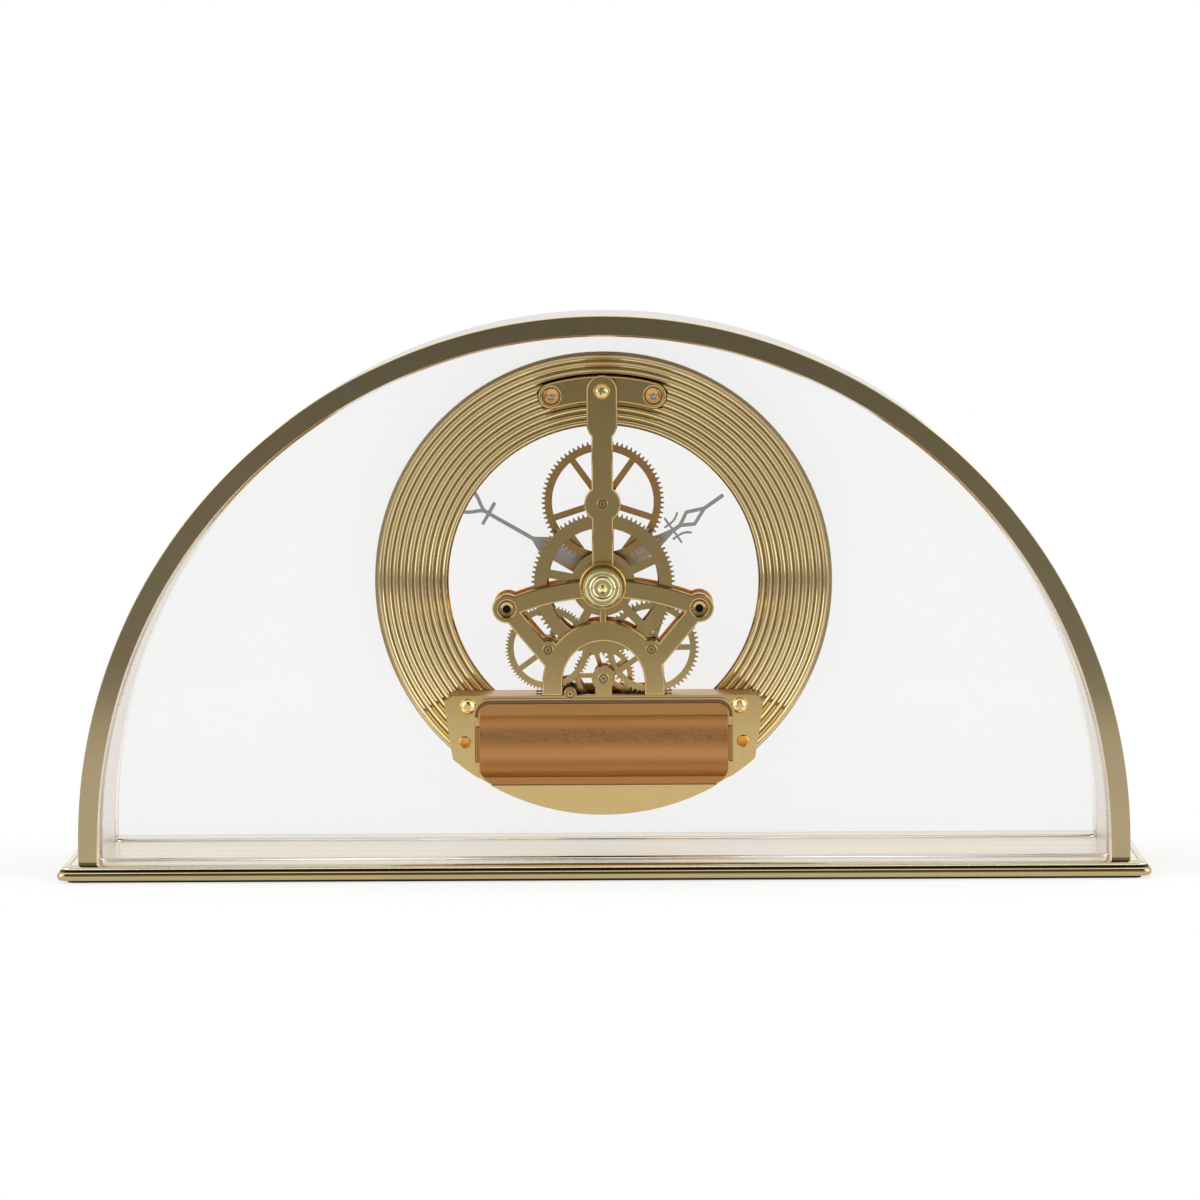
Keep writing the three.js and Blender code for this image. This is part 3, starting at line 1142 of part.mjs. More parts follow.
function buildHousing() {
  const wallFront = BRIDGE_SETBACK + HOUSING_REAR_WALL;
  const cockAt = (shape) => plate(shape, BRIDGE_SETBACK, BRIDGE_THICKNESS);
  const blank = join(
    plate(housingShape(), BRIDGE_SETBACK, HOUSING_DEPTH, PLATE_STEPS * 2),
    cockAt(rectangle(-COCK_STEM_WIDTH / 2, COCK_STEM_WIDTH / 2, -HOUSING_TOP_DROP - OVERLAP, LOWER.z)),
    cockAt(disc(COCK_RADIUS, LOWER)),
    cockAt(disc(ROTOR_BOSS_RADIUS, ROTOR)),
  );
  const recessLength = HOUSING_DEPTH - HOUSING_REAR_WALL - HOUSING_FRONT_WALL;
  const bayLow = -CELL_DROP - BAY_RADIUS;
  const coverHeight = COVER_TOP - COVER_FOOT + 2 * FIT;
  const coverMiddle = (COVER_TOP + COVER_FOOT) / 2;
  const tabSpan = COVER_LENGTH + 2 * (COVER_TAB_WIDTH + FIT);
  const mouth = BRIDGE_SETBACK - OVERSHOOT;
  const coverSeat = COVER_THICKNESS + OVERSHOOT;
  const coilPocket = 2 * (COIL_RADIUS + FIT);
  const pocketEnd = COIL_START + COIL_LENGTH + 2 * FIT;
  const pocketStart = RECESS_WIDTH / 2 - OVERSHOOT;
  const pocketRear = COIL_SETBACK - COIL_RADIUS - FIT;
  const cutters = [
    box(RECESS_WIDTH, recessLength, 2 * RECESS_DEPTH, 0, wallFront, RECESS_FLOOR + RECESS_DEPTH),
    lengthwise(BAY_RADIUS, BAY_LENGTH, 0, CELL_DEPTH, -CELL_DROP),
    box(BAY_LENGTH, CELL_SETBACK + OVERSHOOT, 2 * BAY_RADIUS, 0, mouth, bayLow + BAY_RADIUS),
    box(COVER_LENGTH + 2 * FIT, coverSeat, coverHeight, 0, mouth, coverMiddle),
    box(tabSpan, coverSeat, COVER_TAB_LENGTH + 2 * FIT, 0, mouth, coverMiddle),
    box(
      pocketEnd - pocketStart,
      RING_SETBACK - pocketRear + OVERSHOOT,
      coilPocket,
      (pocketEnd + pocketStart) / 2,
      pocketRear,
      -COIL_DROP,
    ),
    ...[LOWER, ROTOR].map(pivotHole),
    ...TENONS.map((x) => box(
      TENON_WIDTH + 2 * FIT,
      TENON_THICKNESS + 2 * FIT,
      2 * (TENON_LENGTH + FIT),
      x,
      TENON_SETBACK - FIT,
      -HOUSING_TOP_DROP,
    )),
    ...[...HOUSING_SCREWS, ...RIVETS].map((place) => (
      through(SCREW_SHANK_RADIUS + FIT, BRIDGE_SETBACK, HOUSING_DEPTH, place, PIVOT_SIDES)
    )),
  ];
  add(movement, 'battery_housing', cut(blank, ...cutters), RING_GOLD);

  const sides = ['right', 'left'];
  HOUSING_SCREWS.forEach((place, i) => {
    const headRear = BRIDGE_SETBACK - SCREW_HEAD_HEIGHT;
    add(movement, `housing_screw_${sides[i]}`, screw(place, headRear, SCREW_TIP, true), STEEL);
  });
  RIVETS.forEach((place, i) => {
    const dome = turned([
      ...RIVET_PROFILE.map(([share, height]) => [RIVET_RADIUS * share, BRIDGE_SETBACK - height]),
      [SCREW_SHANK_RADIUS, BRIDGE_SETBACK],
      [SCREW_SHANK_RADIUS, RING_SETBACK - FIT],
      [0, RING_SETBACK - FIT],
    ], ROUND_SIDES);
    add(movement, `rivet_${sides[i]}`, dome.translate(place.x, 0, place.z), POLISHED_GOLD);
  });
}

function buildBattery() {
  const coverAt = (shape) => plate(shape, BRIDGE_SETBACK, COVER_THICKNESS);
  const half = COVER_LENGTH / 2;
  const middle = (COVER_TOP + COVER_FOOT) / 2;
  const tabHalf = half + COVER_TAB_WIDTH;
  const bulge = cut(
    lengthwise(COVER_RADIUS, COVER_LENGTH, 0, CELL_DEPTH, -CELL_DROP, RING_SIDES),
    box(2 * COVER_LENGTH, 2 * COVER_RADIUS, 4 * COVER_RADIUS, 0, BRIDGE_SETBACK + COVER_THICKNESS, -CELL_DROP),
  );
  const blank = join(
    coverAt(rectangle(-half, half, COVER_FOOT, COVER_TOP)),
    coverAt(rectangle(-tabHalf, tabHalf, middle - COVER_TAB_LENGTH / 2, middle + COVER_TAB_LENGTH / 2)),
    bulge,
  );
  const room = lengthwise(BAY_RADIUS, BAY_LENGTH, 0, CELL_DEPTH, -CELL_DROP, RING_SIDES);
  add(movement, 'battery_cover', cut(blank, room), COPPER_SATIN);

  const bodyLength = CELL_LENGTH - CELL_NIPPLE_LENGTH;
  const cell = join(
    lengthwise(CELL_RADIUS, bodyLength, -CELL_NIPPLE_LENGTH / 2, CELL_DEPTH, -CELL_DROP),
    lengthwise(CELL_NIPPLE_RADIUS, CELL_LENGTH, 0, CELL_DEPTH, -CELL_DROP, ROUND_SIDES),
  );
  add(movement, 'aa_cell', cell, CELL_SLEEVE);
  const contactPlace = CELL_LENGTH / 2 + FIT + CONTACT_THICKNESS / 2;
  const contactRear = CELL_DEPTH - CONTACT_WIDTH / 2;
  [['positive', 1], ['negative', -1]].forEach(([name, side]) => {
    const leaf = box(
      CONTACT_THICKNESS,
      CONTACT_WIDTH,
      CONTACT_WIDTH,
      side * contactPlace,
      contactRear,
      -CELL_DROP,
    );
    add(movement, `${name}_contact`, leaf, STEEL);
  });
}

function buildMotor() {
  const magnet = turned([
    [ROTOR_ARBOR_RADIUS + FIT, MAGNET_SETBACK],
    [MAGNET_RADIUS, MAGNET_SETBACK],
    [MAGNET_RADIUS, MAGNET_SETBACK + MAGNET_LENGTH],
    [ROTOR_ARBOR_RADIUS + FIT, MAGNET_SETBACK + MAGNET_LENGTH],
  ], ROUND_SIDES);
  add(movement, 'rotor_magnet', magnet, BLACK_RUBBER, ROTOR);

  const statorRear = COIL_SETBACK - STATOR_THICKNESS / 2;
  const elbow = { x: COIL_START - STATOR_ARM_WIDTH, z: -COIL_DROP };
  const armEnd = { x: COIL_START + COIL_LENGTH - STATOR_ARM_WIDTH / 2, z: -COIL_DROP };
  const statorAt = (shape) => plate(shape, statorRear, STATOR_THICKNESS);
  const blank = join(
    statorAt(disc(MAGNET_RADIUS + STATOR_GAP + STATOR_RIM, ROTOR)),
    statorAt(bar(ROTOR, elbow, STATOR_ARM_WIDTH)),
    statorAt(bar(elbow, armEnd, STATOR_ARM_WIDTH)),
  );
  const rotorHole = through(MAGNET_RADIUS + STATOR_GAP, statorRear, STATOR_THICKNESS, ROTOR, LARGE_SIDES);
  add(movement, 'stator', cut(blank, rotorHole), STEEL);

  const coilMiddle = COIL_START + COIL_LENGTH / 2;
  const coreRoom = Math.hypot(STATOR_ARM_WIDTH, STATOR_THICKNESS) / 2 + FIT;
  const coil = cut(
    lengthwise(COIL_RADIUS, COIL_LENGTH, coilMiddle, COIL_SETBACK, -COIL_DROP),
    lengthwise(coreRoom, COIL_LENGTH + 2 * OVERSHOOT, coilMiddle, COIL_SETBACK, -COIL_DROP, ROUND_SIDES),
  );
  add(movement, 'coil', coil, COIL_COPPER);

  const boardEnd = -RECESS_WIDTH / 2 + FIT;
  const boardRear = RING_SETBACK - HOUSING_FRONT_WALL - FIT - BOARD_THICKNESS;
  const board = box(
    BOARD_LENGTH,
    BOARD_THICKNESS,
    BOARD_HEIGHT,
    boardEnd + BOARD_LENGTH / 2,
    boardRear,
    RECESS_FLOOR + BOARD_HEIGHT / 2,
  );
  add(movement, 'circuit_board', board, BOARD_GREEN);
}

buildBase();
buildArch();
buildDial();
buildTopBracket();
buildBridge();
buildFrontPlate();
buildMinuteArbor();
buildKnob();
buildHourWheel();
buildHands();
buildUpperWheels();
buildSideWheels();
buildLowerWheels();
buildHousing();
buildBattery();
buildMotor();

export default clock;
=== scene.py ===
"""Half-moon skeleton mantel clock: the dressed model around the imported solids."""

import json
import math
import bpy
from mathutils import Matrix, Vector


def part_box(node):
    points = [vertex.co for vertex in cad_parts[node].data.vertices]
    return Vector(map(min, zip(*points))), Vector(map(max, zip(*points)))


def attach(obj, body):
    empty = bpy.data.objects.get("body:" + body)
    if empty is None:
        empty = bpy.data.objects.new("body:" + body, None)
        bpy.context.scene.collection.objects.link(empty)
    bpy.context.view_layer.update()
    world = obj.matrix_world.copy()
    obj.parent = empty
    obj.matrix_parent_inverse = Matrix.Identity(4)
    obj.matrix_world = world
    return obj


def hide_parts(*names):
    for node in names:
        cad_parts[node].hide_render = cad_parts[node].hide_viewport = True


bl_info = {
    "name": "Skeleton Mantel Clock",
    "version": (1, 0, 0),
    "blender": (4, 5, 0),
    "location": "View3D > Sidebar > Clock",
    "description": "Builds a half-moon mantel clock with an open gear train and a ridged ring dial",
    "category": "Object",
}

import bmesh
import bpy
from bpy.props import FloatProperty, FloatVectorProperty, IntProperty, PointerProperty
from mathutils import Matrix, Vector
from mathutils.geometry import delaunay_2d_cdt

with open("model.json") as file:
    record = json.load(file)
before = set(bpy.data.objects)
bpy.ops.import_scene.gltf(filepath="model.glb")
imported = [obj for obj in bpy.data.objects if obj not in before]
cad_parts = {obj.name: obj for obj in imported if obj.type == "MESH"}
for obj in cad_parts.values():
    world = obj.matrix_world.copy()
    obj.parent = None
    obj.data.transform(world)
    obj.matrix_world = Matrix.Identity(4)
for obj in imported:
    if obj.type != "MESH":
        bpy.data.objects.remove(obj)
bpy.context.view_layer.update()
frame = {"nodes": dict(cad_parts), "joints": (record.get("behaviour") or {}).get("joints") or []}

MM = 0.001
TURN = 2 * math.pi
QUARTER = math.pi / 2


def node_box(node):
    """Lowest and highest corner of a solid, in millimetres."""
    low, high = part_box(node)
    return low / MM, high / MM


# Places of the frame, in millimetres. A setback is measured forward from the arch's rear face.
ARCH_LOW, ARCH_HIGH = node_box("arch_frame")
BASE_HIGH = node_box("base_plinth")[1]
RING_LOW, RING_HIGH = node_box("dial_ring")
REAR = ARCH_HIGH.y
ARCH_DEPTH = ARCH_HIGH.y - ARCH_LOW.y
AXIS_HEIGHT = (RING_LOW.z + RING_HIGH.z) / 2


def joint_place(name):
    """Where a joint's axis crosses the movement's plane, from the minute arbor, in millimetres."""
    joint = next(j for j in frame["joints"] if j["name"] == name)
    return joint["pos_m"][0] / MM, joint["pos_m"][2] / MM - AXIS_HEIGHT


# The movement's places, in millimetres from the minute arbor
CENTRE = (0.0, 0.0)
UPPER = joint_place("upper_turn")
LEFT = joint_place("left_turn")
RIGHT = joint_place("right_turn")
LOWER = joint_place("lower_turn")
ROTOR = joint_place("rotor_turn")
RING_WIDTH = 17.4
RING_MIDDLE = RING_HIGH.x - RING_WIDTH / 2
STRAP_HEAD = (0.0, RING_MIDDLE)
POSTS = [(-22.5, -5.5), (22.5, -5.5)]
HOUSING_TOP = -25.9
HOUSING_SCREWS = [(-31.8, -28.4), (31.8, -28.4)]
RIVETS = [(-32.6, -36.8), (32.6, -36.8)]

# Setbacks of the rear and the front face of the movement's two plates
BRIDGE = (20.0, 22.0)
FRONT_PLATE = (33.45, 34.95)

# Each rail's setback and how deep it is let in, and the wedge that all rails share
RAILS = ((5.7, 0.5), (40.9, 0.1))
RAIL_WIDTH = 0.7
RAIL_RISE = 0.5
RAIL_FOOT = 0.05


def linear(red, green, blue):
    """A colour of 0 to 255 as Blender's scene-linear values."""
    shares = (value / 255 for value in (red, green, blue))
    return tuple(s / 12.92 if s <= 0.04045 else ((s + 0.055) / 1.055) ** 2.4 for s in shares)


def length(name, about, millimetres):
    return FloatProperty(
        name=name,
        description=about,
        default=millimetres * MM,
        min=0,
        subtype="DISTANCE",
        unit="LENGTH",
        precision=5,
    )


def angle(name, about, degrees):
    return FloatProperty(name=name, description=about, default=math.radians(degrees), subtype="ANGLE")


def amount(name, about, value, **limits):
    return FloatProperty(name=name, description=about, default=value, min=0, **limits)


def number(name, about, value, low, high):
    return IntProperty(name=name, description=about, default=value, min=low, max=high)


def paint(name, about, colour):
    return FloatVectorProperty(
        name=name, description=about, default=linear(*colour), size=3, min=0, max=1, subtype="COLOR"
    )


class CaseSettings(bpy.types.PropertyGroup):
    """Sizes and colours of the base, the arch and the glass"""

    arch_radius: length("Arch radius", "Outer radius of the half-moon arch", ARCH_HIGH.x)
    arch_band: length("Arch band", "Thickness of the arch seen from behind", 4.5)
    arch_edge: length("Arch edge", "Width of the broken edges of the arch", 0.18)
    bead_radius: length("Bead radius", "Radius of the round bead along the base", 1.02)
    arch_gold: paint("Arch gold", "Polished gold of the arch", (173, 156, 120))
    arch_lining: paint("Arch lining", "Pale satin inside of the arch", (238, 229, 222))
    base_gold: paint("Base gold", "Polished gold of the base moulding", (186, 168, 122))
    # The lip's paler gold and the nose's bright line are painted highlights on the moulding
    base_lip_highlight: paint("Base lip", "Pale polished lip over the moulding", (214, 201, 174))
    base_nose_highlight: paint("Base nose", "Bright line along the moulding's upper edge", (252, 238, 200))
    base_brass: paint("Base brass", "Pale brushed brass of the base's top", (242, 229, 208))
    rail: paint("Rail", "Bright rails round the glazed opening", (250, 248, 244))
    glass: paint("Glass", "Tint of the front glass", (232, 234, 234))
    rubber: paint("Rubber", "Pad under the base and gasket of the dial", (26, 25, 24))


class DialSettings(bpy.types.PropertyGroup):
    """Sizes and colours of the ring dial and its chapter ring"""

    ridges: number("Ridges", "Round ridges on the back of the ring", 10, 1, 40)
    ridge_height: length("Ridge height", "How far a ridge stands out of the ring", 0.5)
    numeral_height: length("Numeral height", "Height of the hour numerals", 6.2)
    enamel: paint("Enamel", "Cream ground of the chapter ring", (242, 234, 216))
    ink: paint("Ink", "Print of the numerals and the minute track", (30, 27, 24))


class MovementSettings(bpy.types.PropertyGroup):
    """Sizes and colours of the movement"""

    plate_edge: length("Plate edge", "Width of the bright rounded edges of the plates", 0.32)
    knob_flutes: number("Knob flutes", "Flutes round the setting knob", 48, 12, 96)
    plated_gold: paint("Plated gold", "Bright gold of the plates and the bright wheels", (204, 177, 120))
    # A painted reflection: the orange-red glow the gold throws between the plates, on the plates' walls and
    # the front plate's rear faces
    edge_gold_reflection: paint("Edge gold", "Deep red gold between the plates and on the cut edges", (242, 170, 88))
    # A painted reflection: red brown on the housing's top, the cover rim's walls and the cheeks, for the
    # movement reflected there
    ledge: paint("Ledge", "Red brown gleam on top of the housing", (198, 142, 68))
    ring_gold: paint("Ring gold", "Paler gold of the ridged ring", (212, 195, 152))
    knob_gold: paint("Knob gold", "Pale gold of the setting knob", (232, 220, 166))
    screw_gold: paint("Screw gold", "Bright gold of the screws", (230, 206, 144))
    wheel_gold: paint("Wheel gold", "Warmer gold of the small wheels", (206, 164, 106))
    rivet_gold: paint("Rivet gold", "Orange gold of the rivets", (226, 158, 76))
    # A painted shade: the dark colour of holes, grooves and gaps where shade falls
    recess: paint("Recess", "Dark holes and shaded gaps", (46, 34, 20))
    copper: paint("Copper", "Satin copper of the battery cover", (192, 140, 86))
    # A painted shadow along the top and sides of the cover's opening
    reveal: paint("Reveal", "Shaded edge over the battery cover", (112, 74, 38))
    steel: paint("Steel", "Screws, contacts and the bare ends of the cell", (172, 170, 166))
    hand_grey: paint("Hand grey", "Satin back of the hands", (216, 212, 210))
    cell: paint("Cell", "Sleeve of the battery", (70, 74, 82))
    coil: paint("Coil", "Wound wire of the motor", (190, 104, 52))
    board: paint("Board", "Lacquer of the circuit board", (30, 92, 54))


class StageSettings(bpy.types.PropertyGroup):
    """Camera, floor and studio light"""

    lens: amount("Lens", "Focal length on the sensor", 158.5, subtype="DISTANCE_CAMERA")
    distance: length("Distance", "From the camera to the arch's rear face", 1214)
    pitch: angle("Pitch", "How far the camera looks down", 4.73)
    yaw: angle("Yaw", "How far the camera turns to its left", 0.58)
    roll: angle("Roll", "Tilt of the picture", -0.36)
    aim_side: length("Aim side", "Sideways place of the picture's middle on the arch", 0.5)
    aim_height: length("Aim height", "Height of the picture's middle on the arch", 64.55)
    floor: paint("Floor", "Pale floor close to the clock", (250, 249, 247))
    lamp_power: amount("Lamp power", "Power of the soft lamp overhead", 3.2, unit="POWER")
    fill: amount("Fill", "Strength of the even light all round", 0.62, max=2)
    flag_shade: amount("Flag shade", "Grey of the dark cards on the camera's side", 0.365, max=1)


# Flat shapes: lists of (x, z) points, counter-clockwise
def sweep(start, end, step):
    """Angles from one whole degree to another, in radians."""
    return [math.radians(d) for d in range(start, end + 1, step)]


def oval(place, across, along, angles):
    return [(place[0] + across * math.cos(a), place[1] + along * math.sin(a)) for a in angles]


def arc(place, radius, start, end, steps):
    return oval(place, radius, radius, [start + (end - start) * i / steps for i in range(steps + 1)])


def circle(place, radius, sides=72):
    return arc(place, radius, 0, TURN * (sides - 1) / sides, sides - 1)


def bar(start, end, width, steps=14):
    """A straight bar with round ends."""
    direction = math.atan2(end[1] - start[1], end[0] - start[0])
    first = arc(start, width / 2, direction + QUARTER, direction + 3 * QUARTER, steps)
    return first + arc(end, width / 2, direction - QUARTER, direction + QUARTER, steps)


def arc_bar(place, radius, width, start, end, steps=64):
    outer = arc(place, radius + width / 2, start, end, steps)
    return outer + arc(place, radius - width / 2, end, start, steps)


def rectangle(left, right, low, high):
    return [(left, low), (right, low), (right, high), (left, high)]


def round_cornered(left, right, low, high, radii, steps):
    """A rectangle with a radius for each corner, counter-clockwise from the upper right one."""
    corners = ((right, high, -1, -1), (left, high, 1, -1), (left, low, 1, 1), (right, low, -1, 1))
    outline = []
    for i, ((x, z, across, up), radius) in enumerate(zip(corners, radii)):
        middle = x + across * radius, z + up * radius
        outline += arc(middle, radius, i * QUARTER, (i + 1) * QUARTER, steps) if radius else [(x, z)]
    return outline


def away(place, distance, direction):
    return place[0] + distance * math.cos(direction), place[1] + distance * math.sin(direction)


def area(outline):
    following = outline[1:] + outline[:1]
    return sum(a[0] * b[1] - b[0] * a[1] for a, b in zip(outline, following)) / 2


def triangulate(solids, holes):
    """Points and triangles of the solids with the holes taken out."""
    points, faces = [], []
    for outline in [*solids, *holes]:
        forward = outline if area(outline) > 0 else outline[::-1]
        faces.append(list(range(len(points), len(points) + len(forward))))
        points += [Vector(p) for p in forward]
    inside_only, same_point = 1, 1e-5
    made, _, triangles, _, _, sources = delaunay_2d_cdt(points, [], faces, inside_only, same_point)
    first_hole = len(solids)
    kept = [t for t, source in zip(triangles, sources) if source and max(source) < first_hole]
    return made, kept


def outlines(solids, holes):
    """Closed loops round the solids with the holes taken out. The metal lies on a loop's left."""
    points, triangles = triangulate(solids, holes)
    edges = {(t[i], t[(i + 1) % 3]) for t in triangles for i in range(3)}
    onward = {a: b for a, b in edges if (b, a) not in edges}
    loops = []
    while onward:
        start, here = onward.popitem()
        loop = [start]
        while here != start:
            loop.append(here)
            here = onward.pop(here)
        loops.append(thin_out([tuple(points[i]) for i in loop]))
    return loops


def thin_out(loop, closest=0.02):
    """The loop without points that lie close to the one before."""
    kept = []
    for point in loop:
        if not kept or math.dist(point, kept[-1]) > closest:
            kept.append(point)
    if math.dist(kept[0], kept[-1]) < closest:
        kept.pop()
    return kept


def inset(loop, distance, longest=2.0):
    """The loop moved into the metal by a small distance."""
    moved = []
    for i, here in enumerate(loop):
        before, after = Vector(loop[i - 1]), Vector(loop[(i + 1) % len(loop)])
        first = (Vector(here) - before).normalized()
        second = (after - Vector(here)).normalized()
        normal = Vector((-first.y - second.y, first.x + second.x))
        stretch = min(longest, 2 / max(normal.length, 1e-6))
        moved.append(tuple(Vector(here) + normal.normalized() * distance * stretch))
    return moved


# Solid forms: (points in millimetres, faces, the finish's number for each face)
ROUNDING = 0.29
WALL_ROW = 2
ON_AXIS = 1e-6


def at(place, setback):
    """A place of the movement's plane at a setback, in millimetres."""
    return place[0], REAR - setback, AXIS_HEIGHT + place[1]


def spot(place, setback):
    """The same in metres."""
    return tuple(c * MM for c in at(place, setback))


def rounded(point):
    return round(point[0], 4), round(point[1], 4)


def plate(solids, holes, rear, front, edge, wall=1):
    """A plate in the XZ plane between two setbacks, with broken edges and a finish's number for its walls."""
    loops = outlines(solids, holes)
    inner = [inset(loop, edge) for loop in loops]
    made, triangles = triangulate([p for p in inner if area(p) > 0], [p for p in inner if area(p) < 0])
    slope = edge * ROUNDING
    full = [p for loop in loops for p in loop]
    soft = [p for loop in loops for p in inset(loop, slope)]
    flat = [p for loop in inner for p in loop]
    rows = [(flat, rear), (soft, rear + slope), (full, rear + edge)]
    rows += [(full, front - edge), (soft, front - slope), (flat, front)]
    points = [at(p, setback) for row, setback in rows for p in row]
    count, last = len(flat), len(rows) - 1
    faces, tones = [], []
    start = 0
    for loop in loops:
        for i in range(len(loop)):
            a, b = start + i, start + (i + 1) % len(loop)
            for row in range(last):
                low, high = row * count, (row + 1) * count
                faces.append([low + a, low + b, high + b, high + a])
                tones.append(wall if row == WALL_ROW else 0)
        start += len(loop)
    order = {rounded(p): i for i, p in enumerate(flat)}
    for triangle in triangles:
        corners = [order[rounded(made[i])] for i in triangle]
        faces += [corners[::-1], [last * count + c for c in corners]]
        tones += [0, 0]
    return points, faces, tones


def rows_of_faces(rows, sides, closed):
    """Faces between rings of points; a closed form also joins its last ring to its first."""
    faces = []
    for row in range(rows if closed else rows - 1):
        low, high = row * sides, (row + 1) % rows * sides
        faces += [[low + i, low + (i + 1) % sides, high + (i + 1) % sides, high + i] for i in range(sides)]
    return faces


def turned(profile, place=CENTRE, sides=64, stand=at):
    """A turned form from a list of (radius, setback). It closes on itself or on its axis."""
    rings = [(circle(place, max(radius, ON_AXIS), sides), along) for radius, along in profile]
    points = [stand(p, along) for ring, along in rings for p in ring]
    return points, rows_of_faces(len(profile), sides, profile[0][0] > 0)


def sideways(place, x):
    """A place of (y, z) at an x, for a turned form that lies along X."""
    return x, *place


def by_row(form, row_tones):
    """A turned form with a finish's number for each row of faces."""
    points, faces = form
    sides = len(faces) // len(row_tones)
    return points, faces, [tone for tone in row_tones for _ in range(sides)]


def stacked(rings, tone=lambda row, i: 0):
    """Loops of equal length stacked into a closed form, with a finish's number for each face."""
    count = len(rings[0])
    points = [p for ring in rings for p in ring]
    ends = [list(range(count))[::-1], list(range(len(points) - count, len(points)))]
    tones = [tone(row, i) for row in range(len(rings) - 1) for i in range(count)]
    return points, ends + rows_of_faces(len(rings), count, False), [0, 0, *tones]


def swept(section, stations, lining):
    """A section of (radius, setback) carried round stations of (angle, height), lined inside a radius."""
    rings = [
        [(r * math.cos(turn), REAR - setback, height + r * math.sin(turn)) for r, setback in section]
        for turn, height in stations
    ]
    inside = [max(a[0], b[0]) <= lining for a, b in zip(section, section[1:] + section[:1])]
    return stacked(rings, lambda row, i: int(inside[i]))


# Meshes and objects
NEAR = 1e-6
SAME_POINT = 2e-6
SLIVER = 1e-7
LEVEL = 0.9999
FRONT_FACING = -0.3
ONE_FACE = math.radians(1)
SHARP = math.radians(32)
BEVELLED = math.radians(35)


def mesh_of(name, *forms):
    """A mesh in metres from forms in millimetres, with merged points and outward faces."""
    shell = bmesh.new()
    for points, faces, *tones in forms:
        made = [shell.verts.new(Vector(p) * MM) for p in points]
        for i, face in enumerate(faces):
            shell.faces.new([made[k] for k in face]).material_index = tones[0][i] if tones else 0
    return closed_mesh(name, shell)


def closed_mesh(name, shell):
    bmesh.ops.remove_doubles(shell, verts=shell.verts, dist=SAME_POINT)
    bmesh.ops.dissolve_degenerate(shell, edges=shell.edges, dist=SLIVER)
    bmesh.ops.recalc_face_normals(shell, faces=shell.faces)
    mesh = bpy.data.meshes.new(name)
    shell.to_mesh(mesh)
    shell.free()
    mesh.set_sharp_from_angle(angle=SHARP)
    mesh.polygons.foreach_set("use_smooth", [abs(face.normal.y) < LEVEL for face in mesh.polygons])
    return mesh


def shell_of(*meshes):
    """The meshes together, for editing."""
    shell = bmesh.new()
    for mesh in meshes:
        shell.from_mesh(mesh)
    return shell


def add_to(mesh, *others):
    """Adds other meshes to the first."""
    shell = shell_of(mesh, *others)
    shell.to_mesh(mesh)
    shell.free()


def paint_front(mesh):
    """Gives the faces towards the dial's side the second finish and all others the first."""
    for face in mesh.polygons:
        face.material_index = int(face.normal.y < FRONT_FACING)


def lay_flat(mesh, setback):
    """Turns a standing form about the minute arbor into the flat frame of the node trees."""
    back = Matrix.Translation(-Vector(spot(CENTRE, setback)))
    mesh.transform(Matrix.Rotation(-QUARTER, 4, "X") @ back)


def placed(name, data):
    """A new object in the scene."""
    made = bpy.data.objects.new(name, data)
    bpy.context.scene.collection.objects.link(made)
    return made


def baked(carrier):
    """An object's final mesh. The object itself goes."""
    graph = bpy.context.evaluated_depsgraph_get()
    mesh = bpy.data.meshes.new_from_object(carrier.evaluated_get(graph), depsgraph=graph)
    bpy.data.objects.remove(carrier)
    return mesh


def show(name, made, finishes, body, slot, *nodes):
    """Puts a mesh, or one made of forms, in the scene, on its body and in place of its solids."""
    mesh = made if isinstance(made, bpy.types.Mesh) else mesh_of(name, *made)
    piece = placed(name, mesh)
    for finish in finishes:
        mesh.materials.append(FINISHES[finish])
    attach(piece, body)
    if nodes:
        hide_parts(*nodes)
    return piece


def dress(finish, *nodes):
    """Gives solids that stay their finish."""
    for node in nodes:
        materials = frame["nodes"][node].data.materials
        materials.clear()
        materials.append(FINISHES[finish])


def cut(mesh, form, operation):
    """A mesh with a form taken out of it, or what of it lies inside the form."""
    piece, cutter = placed("cut", mesh), placed("cutter", mesh_of("cutter", form))
    modifier = piece.modifiers.new("cut", "BOOLEAN")
    modifier.operation = operation
    modifier.object = cutter
    made = baked(piece)
    bpy.data.objects.remove(cutter)
    return made


def round_off(shell, radius, cuts=6):
    """Turns the flats at a radius about the minute arbor into a true curve."""

    def reach(point):
        return math.hypot(point.co.x, point.co.z - AXIS_HEIGHT * MM)

    def on_curve(edge):
        level = abs(edge.verts[0].co.y - edge.verts[1].co.y) < NEAR
        return level and all(abs(reach(v) - radius * MM) < 10 * NEAR for v in edge.verts)

    flats = [edge for edge in shell.edges if on_curve(edge)]
    made = bmesh.ops.subdivide_edges(shell, edges=flats, cuts=cuts, use_grid_fill=True)
    for point in made["geom_inner"]:
        if isinstance(point, bmesh.types.BMVert):
            widen(point, radius * MM / reach(point))


def widen(point, share):
    """Moves a point away from the minute arbor, or towards it."""
    point.co.x *= share
    point.co.z = (point.co.z - AXIS_HEIGHT * MM) * share + AXIS_HEIGHT * MM


